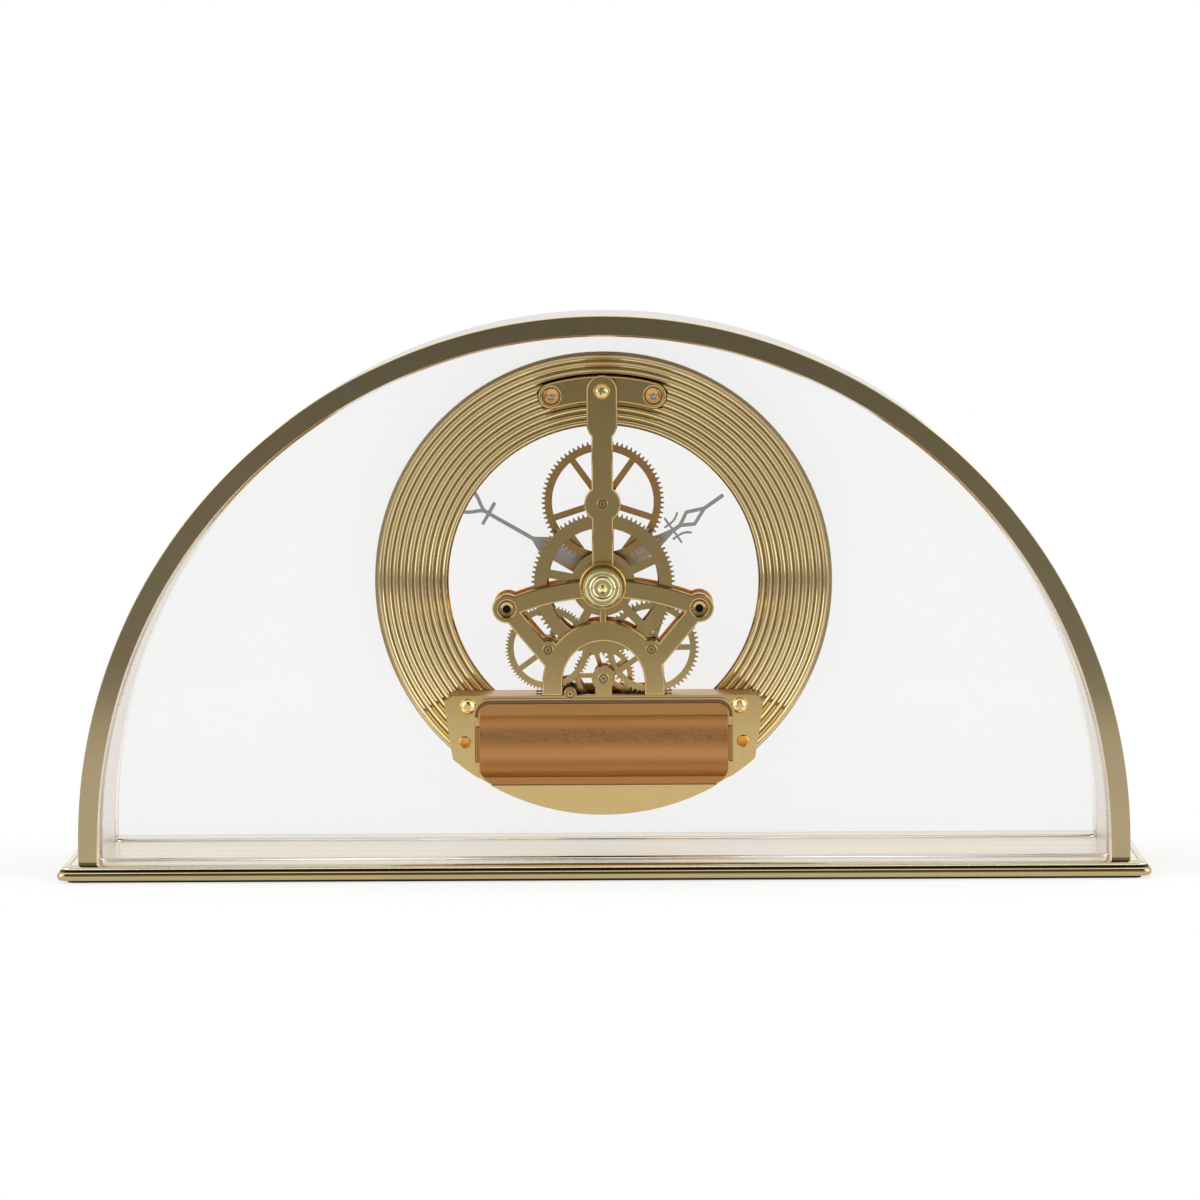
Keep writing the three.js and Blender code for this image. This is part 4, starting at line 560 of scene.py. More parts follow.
def from_solid(name, node, finishes, body, slot, edge, tone=None, curve=None, trim=None):
    """A copy of a solid with merged faces and broken edges, in place of the solid and inside the trim."""
    shell = shell_of(frame["nodes"][node].data)
    bmesh.ops.remove_doubles(shell, verts=shell.verts, dist=SAME_POINT)
    bmesh.ops.dissolve_limit(shell, angle_limit=ONE_FACE, verts=shell.verts, edges=shell.edges)
    if curve:
        round_off(shell, curve)
    if trim:
        whole = bpy.data.meshes.new(name)
        shell.to_mesh(whole)
        shell.free()
        shell = shell_of(cut(whole, trim, "INTERSECT"))
    shell.normal_update()
    for face in shell.faces:
        face.material_index = tone(face.normal, face.calc_center_median() / MM) if tone else 0
    piece = show(name, closed_mesh(name, shell), finishes, body, slot, node)
    bevel = piece.modifiers.new("broken edges", "BEVEL")
    bevel.width = edge * MM
    bevel.segments = 2
    bevel.limit_method = "ANGLE"
    bevel.angle_limit = BEVELLED
    bevel.harden_normals = True


# Node trees
class Nodes:
    """A node tree under construction."""

    def __init__(self, tree):
        self.tree = tree

    def feed(self, socket, value):
        """Links a socket to another one, or sets its value."""
        if isinstance(value, bpy.types.NodeSocket):
            self.tree.links.new(value, socket)
        else:
            socket.default_value = value

    def add(self, kind, sockets, **settings):
        """A new node's first output. A list feeds a socket that takes several links."""
        node = self.tree.nodes.new(kind)
        for key, value in settings.items():
            setattr(node, key, value)
        for key, value in sockets.items():
            for item in value if isinstance(value, list) else [value]:
                self.feed(node.inputs[key], item)
        return node.outputs[0]

    def calc(self, operation, *terms):
        return self.add("ShaderNodeMath", dict(enumerate(terms)), operation=operation)


class Tree(Nodes):
    """A geometry node tree whose result stands in the movement's plane."""

    STAND = (("Place", "Vector"), ("Material", "Material"))

    def __init__(self, name, *sockets):
        super().__init__(bpy.data.node_groups.new(name, "GeometryNodeTree"))
        face = self.tree.interface
        for label, kind in (("Geometry", "Geometry"), *sockets, *self.STAND):
            face.new_socket(label, in_out="INPUT", socket_type="NodeSocket" + kind)
        face.new_socket("Geometry", in_out="OUTPUT", socket_type="NodeSocketGeometry")
        self.start = self.tree.nodes.new("NodeGroupInput")
        self.finish = self.tree.nodes.new("NodeGroupOutput")

    def given(self, label):
        return self.start.outputs[label]

    def choose(self, index, values):
        node = self.tree.nodes.new("GeometryNodeIndexSwitch")
        node.data_type = "FLOAT"
        while len(node.index_switch_items) < len(values):
            node.index_switch_items.new()
        for socket, value in zip(node.inputs, (index, *values)):
            self.feed(socket, value)
        return node.outputs[0]

    def polar(self, radius, direction, depth=0.0):
        across = self.calc("MULTIPLY", radius, self.calc("COSINE", direction))
        along = self.calc("MULTIPLY", radius, self.calc("SINE", direction))
        return self.add("ShaderNodeCombineXYZ", {"X": across, "Y": along, "Z": depth})

    def facing(self, turn):
        return self.add("ShaderNodeCombineXYZ", {"Z": turn})

    def moved(self, geometry, position):
        return self.add("GeometryNodeSetPosition", {"Geometry": geometry, "Position": position})

    def ring(self, points, radius):
        return self.add("GeometryNodeCurvePrimitiveCircle", {"Resolution": points, "Radius": radius})

    def join(self, *parts):
        return self.add("GeometryNodeJoinGeometry", {"Geometry": list(parts)})

    def index(self):
        return self.add("GeometryNodeInputIndex", {})

    def close(self, geometry):
        """Stands the flat form up in the movement's plane and ends the tree."""
        stood = self.add(
            "GeometryNodeTransform",
            {"Geometry": geometry, "Translation": self.given("Place"), "Rotation": (QUARTER, 0.0, 0.0)},
        )
        whole = self.add("GeometryNodeRealizeInstances", {"Geometry": stood})
        done = self.add("GeometryNodeSetMaterial", {"Geometry": whole, "Material": self.given("Material")})
        self.feed(self.finish.inputs["Geometry"], done)
        return self

    def grow(self, name, finish, place, values, start=None):
        """Runs the tree at a place and returns its result as a plain mesh."""
        carrier = placed(name, start or bpy.data.meshes.new(name))
        modifier = carrier.modifiers.new("nodes", "NODES")
        modifier.node_group = self.tree
        keys = {s.name: s.identifier for s in self.tree.interface.items_tree if s.in_out == "INPUT"}
        for label, value in {**values, "Place": place, "Material": FINISHES[finish]}.items():
            modifier[keys[label]] = value
        done = closed_mesh(name, shell_of(baked(carrier)))
        done.materials.append(FINISHES[finish])
        done.polygons.foreach_set("material_index", [0] * len(done.polygons))
        return done


def floats(*labels):
    return [(label, "Float") for label in labels]


def in_metres(sizes):
    return {label: size * MM for label, size in sizes.items()}


# A tooth's half width at its foot and its tip, as a share of the pitch
TOOTH_FOOT = 0.31
TOOTH_TIP = 0.085
TOOTH_POINTS = 4
GAP_SIDE_POINTS = 20
BORE_POINTS = 32
BLANK_RADIUS = 0.01


def toothed_tree():
    """A flat wheel: slim teeth, gaps between spokes and a bore."""
    sizes = floats("Root", "Tip", "Phase", "Rim", "Hub", "Spoke Width", "Spoke Turn", "Bore", "Thickness")
    tree = Tree("toothed_wheel", ("Teeth", "Int"), ("Spokes", "Int"), *sizes)
    teeth, root, tip = tree.given("Teeth"), tree.given("Root"), tree.given("Tip")
    blank = tree.ring(tree.calc("MULTIPLY", teeth, TOOTH_POINTS), BLANK_RADIUS)
    corner = tree.calc("MODULO", tree.index(), TOOTH_POINTS)
    tooth = tree.calc("FLOOR", tree.calc("DIVIDE", tree.calc("ADD", tree.index(), 0.5), TOOTH_POINTS))
    share = tree.choose(corner, [-TOOTH_FOOT, -TOOTH_TIP, TOOTH_TIP, TOOTH_FOOT])
    radius = tree.choose(corner, [root, tip, tip, root])
    pitch = tree.calc("DIVIDE", TURN, teeth)
    direction = tree.calc("MULTIPLY_ADD", tree.calc("ADD", tooth, share), pitch, tree.given("Phase"))
    outline = tree.moved(blank, tree.polar(radius, direction))

    # A gap runs out along the rim and back along the hub
    gap = tree.ring(2 * GAP_SIDE_POINTS, BLANK_RADIUS)
    spokes = tree.given("Spokes")
    step = tree.calc("DIVIDE", TURN, spokes)
    inner = tree.calc("GREATER_THAN", tree.index(), GAP_SIDE_POINTS - 0.5)
    along = tree.calc("DIVIDE", tree.calc("MODULO", tree.index(), GAP_SIDE_POINTS), GAP_SIDE_POINTS - 1)
    course = tree.calc("ABSOLUTE", tree.calc("SUBTRACT", inner, along))
    reach = tree.choose(inner, [tree.given("Rim"), tree.given("Hub")])
    half_spoke = tree.calc("MULTIPLY", tree.given("Spoke Width"), 0.5)
    margin = tree.calc("ARCSINE", tree.calc("DIVIDE", half_spoke, reach))
    span = tree.calc("SUBTRACT", step, tree.calc("MULTIPLY", margin, 2))
    window = tree.moved(gap, tree.polar(reach, tree.calc("MULTIPLY_ADD", course, span, margin)))
    spots = tree.add("GeometryNodePoints", {"Count": spokes, "Position": (0.0, 0.0, 0.0)})
    facing = tree.facing(tree.calc("MULTIPLY_ADD", tree.index(), step, tree.given("Spoke Turn")))
    settings = {"Points": spots, "Instance": window, "Rotation": facing}
    windows = tree.add("GeometryNodeInstanceOnPoints", settings)
    windows = tree.add("GeometryNodeRealizeInstances", {"Geometry": windows})

    lines = tree.join(outline, windows, tree.ring(BORE_POINTS, tree.given("Bore")))
    sheet = tree.add("GeometryNodeFillCurve", {"Curve": lines}, mode="NGONS")
    raised = tree.add(
        "GeometryNodeExtrudeMesh",
        {"Mesh": sheet, "Offset Scale": tree.given("Thickness"), "Individual": False},
        mode="FACES",
    )
    whole = tree.join(raised, tree.add("GeometryNodeFlipFaces", {"Mesh": sheet}))
    return tree.close(tree.add("GeometryNodeMergeByDistance", {"Geometry": whole, "Distance": NEAR}))


RIDGE_STEPS_ROUND = 192
RIDGE_STEPS_ACROSS = 12
RIDGE_FULLNESS = 0.85


def ridged_tree():
    """The back of the ring dial: round ridges between its bore and its edge."""
    tree = Tree("ridged_ring", ("Ridges", "Int"), *floats("Bore", "Edge", "Height", "Valley"))
    ridges, bore = tree.given("Ridges"), tree.given("Bore")
    rows = tree.calc("MULTIPLY_ADD", ridges, RIDGE_STEPS_ACROSS, 1)
    size = {"Size X": 1.0, "Size Y": 1.0, "Vertices X": RIDGE_STEPS_ROUND + 1, "Vertices Y": rows}
    grid = tree.add("GeometryNodeMeshGrid", size)
    here = tree.add("ShaderNodeSeparateXYZ", {0: tree.add("GeometryNodeInputPosition", {})}).node.outputs
    course = tree.calc("MULTIPLY", tree.calc("ADD", here["X"], 0.5), TURN)
    share = tree.calc("ADD", here["Y"], 0.5)
    radius = tree.calc("MULTIPLY_ADD", share, tree.calc("SUBTRACT", tree.given("Edge"), bore), bore)
    wave = tree.calc("SINE", tree.calc("MULTIPLY", tree.calc("MULTIPLY", share, ridges), math.pi))
    crest = tree.calc("POWER", tree.calc("ABSOLUTE", wave), RIDGE_FULLNESS)
    rise = tree.calc("MULTIPLY", crest, tree.given("Height"))
    depth = tree.calc("SUBTRACT", tree.given("Valley"), rise)
    face = tree.moved(grid, tree.polar(radius, course, depth))
    return tree.close(tree.join(tree.given("Geometry"), face))


STRONG_EVERY = 5
STRONG_WIDER = 1.6
STRONG_LONGER = 0.35


def track_tree():
    """Marks round a dial, every fifth one stronger."""
    tree = Tree("minute_track", ("Marks", "Int"), *floats("Radius", "Length", "Width", "Thickness"))
    marks = tree.given("Marks")
    spots = tree.add("GeometryNodePoints", {"Count": marks})
    direction = tree.calc("MULTIPLY", tree.index(), tree.calc("DIVIDE", TURN, marks))
    spots = tree.moved(spots, tree.polar(tree.given("Radius"), direction))
    sides = {"X": tree.given("Length"), "Y": tree.given("Width"), "Z": tree.given("Thickness")}
    mark = tree.add("GeometryNodeMeshCube", {"Size": tree.add("ShaderNodeCombineXYZ", sides)})
    strong = tree.calc("LESS_THAN", tree.calc("MODULO", tree.index(), STRONG_EVERY), 0.5)
    wider = tree.calc("MULTIPLY_ADD", strong, STRONG_WIDER, 1)
    longer = tree.calc("MULTIPLY_ADD", strong, STRONG_LONGER, 1)
    stretch = tree.add("ShaderNodeCombineXYZ", {"X": longer, "Y": wider, "Z": 1.0})
    settings = {"Points": spots, "Instance": mark, "Rotation": tree.facing(direction), "Scale": stretch}
    return tree.close(tree.add("GeometryNodeInstanceOnPoints", settings))


def fastener_tree():
    """One small turned form set on many points, each turned by chance about its axis."""
    tree = Tree("fasteners", ("Form", "Object"), ("Seed", "Int"))
    form = tree.add("GeometryNodeObjectInfo", {"Object": tree.given("Form")}).node.outputs["Geometry"]
    chance = tree.add("FunctionNodeRandomValue", {"Seed": tree.given("Seed")}, data_type="FLOAT").node
    share = next(socket for socket in chance.outputs if socket.enabled)
    facing = tree.facing(tree.calc("MULTIPLY", share, TURN))
    settings = {"Points": tree.given("Geometry"), "Instance": form, "Rotation": facing}
    return tree.close(tree.add("GeometryNodeInstanceOnPoints", settings))


# Finishes
class Finish(Nodes):
    """A material under construction, with its pattern on Object coordinates."""

    def __init__(self, name, metallic, roughness):
        self.material = bpy.data.materials.new(name)
        self.material.use_nodes = True
        super().__init__(self.material.node_tree)
        self.shader = self.tree.nodes["Principled BSDF"]
        self.set(Metallic=metallic, Roughness=roughness)
        self.place = self.tree.nodes.new("ShaderNodeTexCoord").outputs["Object"]

    def set(self, **values):
        for key, value in values.items():
            self.feed(self.shader.inputs[key], value)

    def surface(self, shader):
        self.feed(self.tree.nodes["Material Output"].inputs["Surface"], shader)

    def mapped(self, scale):
        return self.add("ShaderNodeMapping", {"Scale": scale, "Vector": self.place})

    def noise(self, grain, detail=3.0):
        """Noise whose grain is given along each axis, in spots per metre."""
        sockets = {"Scale": 1.0, "Detail": detail, "Vector": self.mapped(grain)}
        return self.add("ShaderNodeTexNoise", sockets).node.outputs["Fac"]

    def spread(self, source, low, high, start=0.3, end=0.7):
        limits = {"From Min": start, "From Max": end, "To Min": low, "To Max": high}
        return self.add("ShaderNodeMapRange", {"Value": source, **limits})

    def colour(self, source, dark, light, start=0.3, end=0.7):
        ramp = self.add("ShaderNodeValToRGB", {"Fac": source})
        stops = ramp.node.color_ramp.elements
        for stop, place, colour in zip(stops, (start, end), (dark, light)):
            stop.position = place
            stop.color = (*colour, 1)
        self.feed(self.shader.inputs["Base Color"], ramp)

    def relief(self, source, height, strength=1.0):
        sockets = {"Strength": strength, "Distance": height * MM, "Height": source}
        self.set(Normal=self.add("ShaderNodeBump", sockets))


def shade(colour, share):
    return tuple(min(1.0, max(0.0, c * share)) for c in colour)


# Patterns: their grain and detail, and their gloss and lightest tone as shares of a finish's own values
CLOUD_GRAIN = 90
FINE_DETAIL = 2.0
FINE_GLOSS = (0.85, 1.2)
STREAK_DETAIL = 5.0
STREAK_GLOSS = (0.8, 1.25)
STREAK_RANGE = (0.25, 0.75)
STREAK_LIGHT = 0.6
STREAK_RELIEF = 0.6
GLASS_GRAIN = 12
GLASS_SHADE = 0.97
GLASS_ROUGHNESS = 0.03
GLASS_ALPHA = 0.1
GLASS_INDEX = 1.5


def plain_finish(name, colour, metallic, rough, grain, variation, relief=0.0):
    """An even finish with slight clouds of colour and gloss, and a fine grain."""
    made = Finish(name, metallic, rough)
    cloud = made.noise((CLOUD_GRAIN,) * 3)
    made.colour(cloud, shade(colour, 1 - variation), shade(colour, 1 + variation))
    fine = made.noise((grain,) * 3, FINE_DETAIL)
    made.set(Roughness=made.spread(fine, *(rough * share for share in FINE_GLOSS)))
    if relief:
        made.relief(fine, relief)
    return made.material


def brushed_finish(name, colour, rough, grain, variation, relief):
    """Metal with fine streaks. The grain is given along each axis."""
    made = Finish(name, 1.0, rough)
    streaks = made.noise(grain, STREAK_DETAIL)
    dark, light = shade(colour, 1 - variation), shade(colour, 1 + variation * STREAK_LIGHT)
    made.colour(streaks, dark, light, *STREAK_RANGE)
    made.set(Roughness=made.spread(streaks, *(rough * share for share in STREAK_GLOSS)))
    made.relief(streaks, relief, STREAK_RELIEF)
    return made.material


def glass_finish(name, colour):
    made = Finish(name, 0.0, GLASS_ROUGHNESS)
    made.colour(made.noise((GLASS_GRAIN,) * 3), shade(colour, GLASS_SHADE), colour)
    made.set(Alpha=GLASS_ALPHA, IOR=GLASS_INDEX)
    return made.material


# The finishes under the settings that hold their colours: material, metallic, roughness, grain, variation
# and relief in millimetres
PLAIN = {
    "case": {
        "base_gold": ("moulding_gold", 1, 0.12, 900, 0.04),
        # A paler copy of the moulding gold as a painted highlight on the lip
        "base_lip_highlight": ("moulding_lip", 1, 0.16, 900, 0.03),
        # A painted highlight: a bright, partly diffuse line along the moulding's upper edge
        "base_nose_highlight": ("moulding_nose", 0.3, 0.25, 900, 0.03),
        "arch_gold": ("arch_polish", 1, 0.13, 1200, 0.025),
        "arch_lining": ("arch_inside", 1, 0.3, 1200, 0.02),
        "rail": ("bright_rail", 1, 0.12, 900, 0.02),
        "rubber": ("soft_rubber", 0, 0.75, 3000, 0.12, 0.01),
    },
    "dial": {
        "enamel": ("cream_enamel", 0, 0.45, 600, 0.02, 0.001),
        "ink": ("dial_ink", 0, 0.5, 900, 0.1),
    },
    "movement": {
        "plated_gold": ("gold_plate", 1, 0.14, 1500, 0.03, 0.0003),
        # A painted reflection of the gold between the plates, partly diffuse so that it shows brighter
        "edge_gold_reflection": ("gold_cut_edge", 0.7, 0.3, 1500, 0.06, 0.0006),
        # A painted reflection on the housing's top
        "ledge": ("housing_ledge", 1, 0.3, 1500, 0.12),
        "ring_gold": ("gold_ring", 1, 0.09, 2500, 0.03, 0.0003),
        "knob_gold": ("gold_knob", 1, 0.16, 1500, 0.03),
        "screw_gold": ("gold_screws", 1, 0.12, 1500, 0.04),
        "rivet_gold": ("gold_rivets", 1, 0.25, 1500, 0.04),
        "wheel_gold": ("gold_wheels", 1, 0.2, 1500, 0.05, 0.0005),
        # A painted shade for holes, grooves and gaps
        "recess": ("dark_recess", 0, 0.7, 2000, 0.1),
        # A painted shadow over the cover
        "reveal": ("cover_shade", 0, 0.5, 1500, 0.1),
        "hand_grey": ("hand_metal", 1, 0.2, 1500, 0.03, 0.0006),
        "cell": ("battery_sleeve", 0, 0.35, 800, 0.05),
        "board": ("board_lacquer", 0, 0.4, 1500, 0.12),
    },
}
# The same for brushed finishes: material, roughness, grain along each axis, variation and relief
BRUSHED = {
    "case": {
        "base_brass": ("brushed_brass_top", 0.22, (12, 620, 620), 0.2, 0.003),
    },
    "movement": {
        "copper": ("copper_cover", 0.45, (2600, 2600, 2600), 0.1, 0.006),
        "steel": ("plain_steel", 0.3, (900, 900, 900), 0.06, 0.0008),
        "coil": ("wound_wire", 0.35, (6000, 60, 60), 0.3, 0.02),
    },
}
FINISHES = {}


class ClockOperator:
    """What the clock's operators share."""

    bl_options = {"REGISTER", "UNDO"}

    def execute(self, context):
        self.build(context.scene)
        return {"FINISHED"}


class CLOCK_OT_finishes(ClockOperator, bpy.types.Operator):
    """Mix the metals, glass, enamel and rubber"""

    bl_idname = "clock.finishes"
    bl_label = "Finishes"

    def build(self, scene):
        for table, make in ((PLAIN, plain_finish), (BRUSHED, brushed_finish)):
            for group, rows in table.items():
                settings = getattr(scene, f"clock_{group}")
                for finish, (material, *values) in rows.items():
                    FINISHES[finish] = make(material, getattr(settings, finish), *values)
        FINISHES["glass"] = glass_finish("clear_pane", scene.clock_case.glass)


class CLOCK_OT_base(ClockOperator, bpy.types.Operator):
    """Build the moulded base with its brushed top and its pad"""

    bl_idname = "clock.base"
    bl_label = "Base"

    FOOT = 0.7
    SEAT = 3.2
    TOP = 4.0
    CORNER = 2.0
    BEAD_DEPTH = 0.6
    BEAD_MIDDLE = 0.92
    BEAD_HEIGHT = 0.93
    NOSE = 0.42
    NOSE_INSET = 1.03
    GROOVE_HEIGHT = 0.28
    # Inset and height of the points of the groove over the bead's top and of the lip under the base's top
    GROOVE = ((1.5, -0.03), (2.3, 0.02), (2.3, 0.3), (1.5, GROOVE_HEIGHT))
    LIP = ((2.2, TOP - 0.08), (2.5, TOP), (2.8, TOP), (2.8, SEAT))
    # The moulding's gold, the painted shade in its groove and the painted highlights on its lip and nose
    GOLDS = ("base_gold", "recess", "base_lip_highlight", "base_nose_highlight")
    RAIL_HALF = 116.4

    def build(self, scene):
        radius = scene.clock_case.bead_radius / MM
        middle = self.FOOT + radius * self.BEAD_MIDDLE
        depth, bend = self.BEAD_DEPTH, self.NOSE
        bead = oval((depth, middle), -depth, radius * self.BEAD_HEIGHT, sweep(-80, 80, 10))
        top = bead[-1][1]
        groove = [(inward, top + height) for inward, height in self.GROOVE]
        nose_middle = self.NOSE_INSET + bend, top + self.GROOVE_HEIGHT + bend
        nose = oval(nose_middle, -bend, bend, sweep(-80, 60, 20))
        rings = [self.ring(inward, height) for inward, height in (*bead, *groove, *nose, *self.LIP)]
        # The groove's rows take the painted shade, the nose's upper rows the bright painted highlight and the
        # lip the paler painted highlight
        gold, dark, pale, bright = range(len(self.GOLDS))
        tones = [gold] * (len(bead) - 1) + [dark] * len(groove) + [gold] * (len(nose) - 4)
        tones += [bright] * 2 + [pale] * (len(self.LIP) + 2)
        plinth = stacked(rings, lambda row, i: tones[row])
        show("moulded_plinth", [plinth], self.GOLDS, "case", "polished_gold", "base_plinth")
        rails = [self.rail(*row) for row in RAILS]
        show("base_rails", rails, ["rail"], "case", "polished_gold")
        dress("base_brass", "base_top_plate")
        dress("rubber", "base_pad")
        dress("steel", *(f"arch_screw_{i}" for i in range(1, 5)))

    def rail(self, setback, sunk):
        """A narrow bright rail along the base's top."""
        low, near, far = self.TOP - sunk, REAR - setback, REAR - setback - RAIL_WIDTH
        section = [(near, low), (near, self.TOP + RAIL_FOOT), (far, self.TOP + RAIL_RISE), (far, low)]
        return stacked([[(x, y, z) for y, z in section] for x in (-self.RAIL_HALF, self.RAIL_HALF)])

    def ring(self, inward, height):
        """The base's outline with round corners, moved inward."""
        x, y = BASE_HIGH.x - inward, BASE_HIGH.y - inward
        return [(*p, height) for p in round_cornered(-x, x, -y, y, [self.CORNER] * 4, 8)]


class CLOCK_OT_arch(ClockOperator, bpy.types.Operator):
    """Build the half-moon arch and glaze its front"""

    bl_idname = "clock.arch"
    bl_label = "Arch and glass"

    SPRING = 8.4
    STEPS = 180
    # The near and far setback and the depth of the groove for the glass and of the empty one near the rim
    GROOVES = ((41.7, 44.9, 2.0), (5.4, 6.6, 0.5))

    def build(self, scene):
        case = scene.clock_case
        outer = case.arch_radius / MM
        inner = outer - case.arch_band / MM
        edge = case.arch_edge / MM
        front = ARCH_DEPTH
        section = [(inner + edge, 0), (outer - edge, 0), (outer, edge), (outer, front - edge)]
        section += [(outer - edge, front), (inner + edge, front), (inner, front - edge)]
        for near, far, depth in self.GROOVES:
            section += rectangle(inner, inner + depth, far, near)
        section.append((inner, edge))
        half_round = [(math.pi * i / self.STEPS, self.SPRING) for i in range(self.STEPS + 1)]
        stations = [(0.0, ARCH_LOW.z), *half_round, (math.pi, ARCH_LOW.z)]
        band = swept(section, stations, inner)
        show("half_moon_arch", [band], ["arch_gold", "arch_lining"], "case", "arch_gold", "arch_frame")
        rails = []
        for near, sunk in RAILS:
            far, high = near + RAIL_WIDTH, inner + sunk
            wedge = [(inner - RAIL_FOOT, near), (high, near), (high, far), (inner - RAIL_RISE, far)]
            rails.append(swept(wedge, stations, 0))
        show("arch_rails", rails, ["rail"], "case", "polished_gold")
        dress("glass", "front_glass")


class CLOCK_OT_dial(ClockOperator, bpy.types.Operator):
    """Build the ridged ring dial, its chapter ring, numerals and minute track"""

    bl_idname = "clock.dial"
    bl_label = "Dial"

    SIDES = 192
    WALL = 3.2
    RIM = 0.6
    RIM_ROUND = 0.2
    GASKET_MARGIN = 0.4
    CHAPTER_BORE = 37.0
    CHAPTER_EDGE = 0.1
    NUMERALS = ("XII", "I", "II", "III", "IIII", "V", "VI", "VII", "VIII", "IX", "X", "XI")
    NUMERAL_RADIUS = 41.6
    CAPITAL_SHARE = 0.72
    MARKS = 60
    TRACK_RADIUS = 48.2
    MARK_LENGTH = 2.2
    MARK_WIDTH = 0.42
    PRINT = 0.06

    def build(self, scene):
        dial = scene.clock_dial
        chapter_low, chapter_high = node_box("chapter_ring")
        web, face, front = REAR - chapter_high.y, REAR - chapter_low.y, REAR - RING_LOW.y
        valley = REAR - RING_HIGH.y + dial.ridge_height / MM
        edge = RING_HIGH.x
        bore, wall, ridged = edge - RING_WIDTH, edge - self.WALL, edge - self.RIM
        corner = self.RIM_ROUND
        rest = [(ridged, valley), (edge - corner, valley), (edge, valley + corner), (edge, front)]
        rest += [(wall, front), (wall, web), (bore, web), (bore, valley)]
        points, faces = turned(rest, CENTRE, self.SIDES)
        open_back = mesh_of("ring", (points, faces[: -self.SIDES]))
        lay_flat(open_back, valley)
        values = {"Ridges": dial.ridges, "Height": dial.ridge_height, "Valley": 0.0}
        values |= in_metres({"Bore": bore, "Edge": ridged})
        mesh = ridged_tree().grow("ridged_ring", "ring_gold", spot(CENTRE, valley), values, open_back)
        show("ridged_ring", mesh, (), "case", "ring_gold", "dial_ring")
        pane = REAR - node_box("front_glass")[1].y
        section = rectangle(wall + self.GASKET_MARGIN, edge - self.GASKET_MARGIN, front, pane)
        gasket = turned(section, CENTRE, self.SIDES)
        show("rubber_gasket", [gasket], ["rubber"], "case", "black_rubber", "dial_gasket")
        self.chapter(web, face, chapter_high.x)
        self.track(face)
        self.numerals(face, dial.numeral_height)

    def chapter(self, rear, front, outer):
        inner, edge = self.CHAPTER_BORE, self.CHAPTER_EDGE
        section = [(inner, rear), (outer, rear), (outer, front - edge)]
        section += [(outer - edge, front), (inner + edge, front), (inner, front - edge)]
        ring = turned(section, CENTRE, self.SIDES)
        show("chapter", [ring], ["enamel"], "case", "enamel", "chapter_ring")

    def track(self, front):
        sizes = {"Radius": self.TRACK_RADIUS, "Length": self.MARK_LENGTH}
        sizes |= {"Width": self.MARK_WIDTH, "Thickness": 2 * self.PRINT}
        values = {"Marks": self.MARKS, **in_metres(sizes)}
        mesh = track_tree().grow("minute_track", "ink", spot(CENTRE, front), values)
        show("minute_track", mesh, (), "case", "black_rubber")

    def numerals(self, front, height):
        meshes = []
        for hour, label in enumerate(self.NUMERALS):
            turn = hour * TURN / len(self.NUMERALS)
            text = bpy.data.curves.new("numeral", "FONT")
            text.body = label
            text.size = height / self.CAPITAL_SHARE
            text.align_x = "CENTER"
            text.align_y = "CENTER"
            text.extrude = self.PRINT * MM
            mesh = baked(placed("numeral", text))
            place = Vector(spot(away(CENTRE, self.NUMERAL_RADIUS, QUARTER - turn), front))
            upright = Matrix.Rotation(QUARTER, 4, "X") @ Matrix.Rotation(-turn, 4, "Z")
            mesh.transform(Matrix.Translation(place) @ upright)
            meshes.append(mesh)
        mesh = closed_mesh("hour_numerals", shell_of(*meshes))
        show("hour_numerals", mesh, ["ink"], "case", "black_rubber")


BRACKET_HALF = math.radians(15.4)
BRACKET_SCREWS = [away(CENTRE, RING_MIDDLE, QUARTER + side * BRACKET_HALF) for side in (-1, 1)]


class CLOCK_OT_bracket(ClockOperator, bpy.types.Operator):
    """Build the curved bracket that hangs the movement from the ring, with a painted shadow round its foot"""

    bl_idname = "clock.bracket"
    bl_label = "Top bracket"

    SHEET = (31.2, 34.0)
    WIDTH = 6.0
    HOLE = 2.15
    FLOOR = 32.9
    FLOOR_RADIUS = 2.3
    # Radius and setback of the middle post
    POST = ((0, 22), (2.8, 22), (3, 22.2), (3, 33.9), (0, 33.9))
    # Setbacks, width, end radius and edge of a thin dark sheet under the bracket: a painted shadow round its
    # foot
    SEAT = (33.7, 34.0)
    SHADOW_WIDTH = 6.4
    SHADOW_END = 3.25
    SHADOW_EDGE = 0.03
    SIDES = 40

    def build(self, scene):
        edge = scene.clock_movement.plate_edge / MM
        holes = [circle(place, self.HOLE, self.SIDES) for place in BRACKET_SCREWS]
        sheet = plate(self.outline(self.WIDTH, self.WIDTH / 2), holes, *self.SHEET, edge, wall=0)
        floor = rectangle(0, self.FLOOR_RADIUS, self.FLOOR, self.SHEET[1])
        forms = [sheet, turned(self.POST, STRAP_HEAD)]
        forms += [turned(floor, place, self.SIDES) for place in BRACKET_SCREWS]
        show("curved_bracket", forms, ["plated_gold"], "case", "ring_gold", "top_bracket")
        # A painted shadow: a dark sheet a little larger than the bracket, on the ring under it
        seat = plate(self.outline(self.SHADOW_WIDTH, self.SHADOW_END), [], *self.SEAT, self.SHADOW_EDGE, wall=0)
        show("bracket_seat", [seat], ["recess"], "case", "black_rubber")

    def outline(self, width, end):
        curve = arc_bar(CENTRE, RING_MIDDLE, width, QUARTER - BRACKET_HALF, QUARTER + BRACKET_HALF)
        return [curve, *(circle(place, end) for place in BRACKET_SCREWS)]


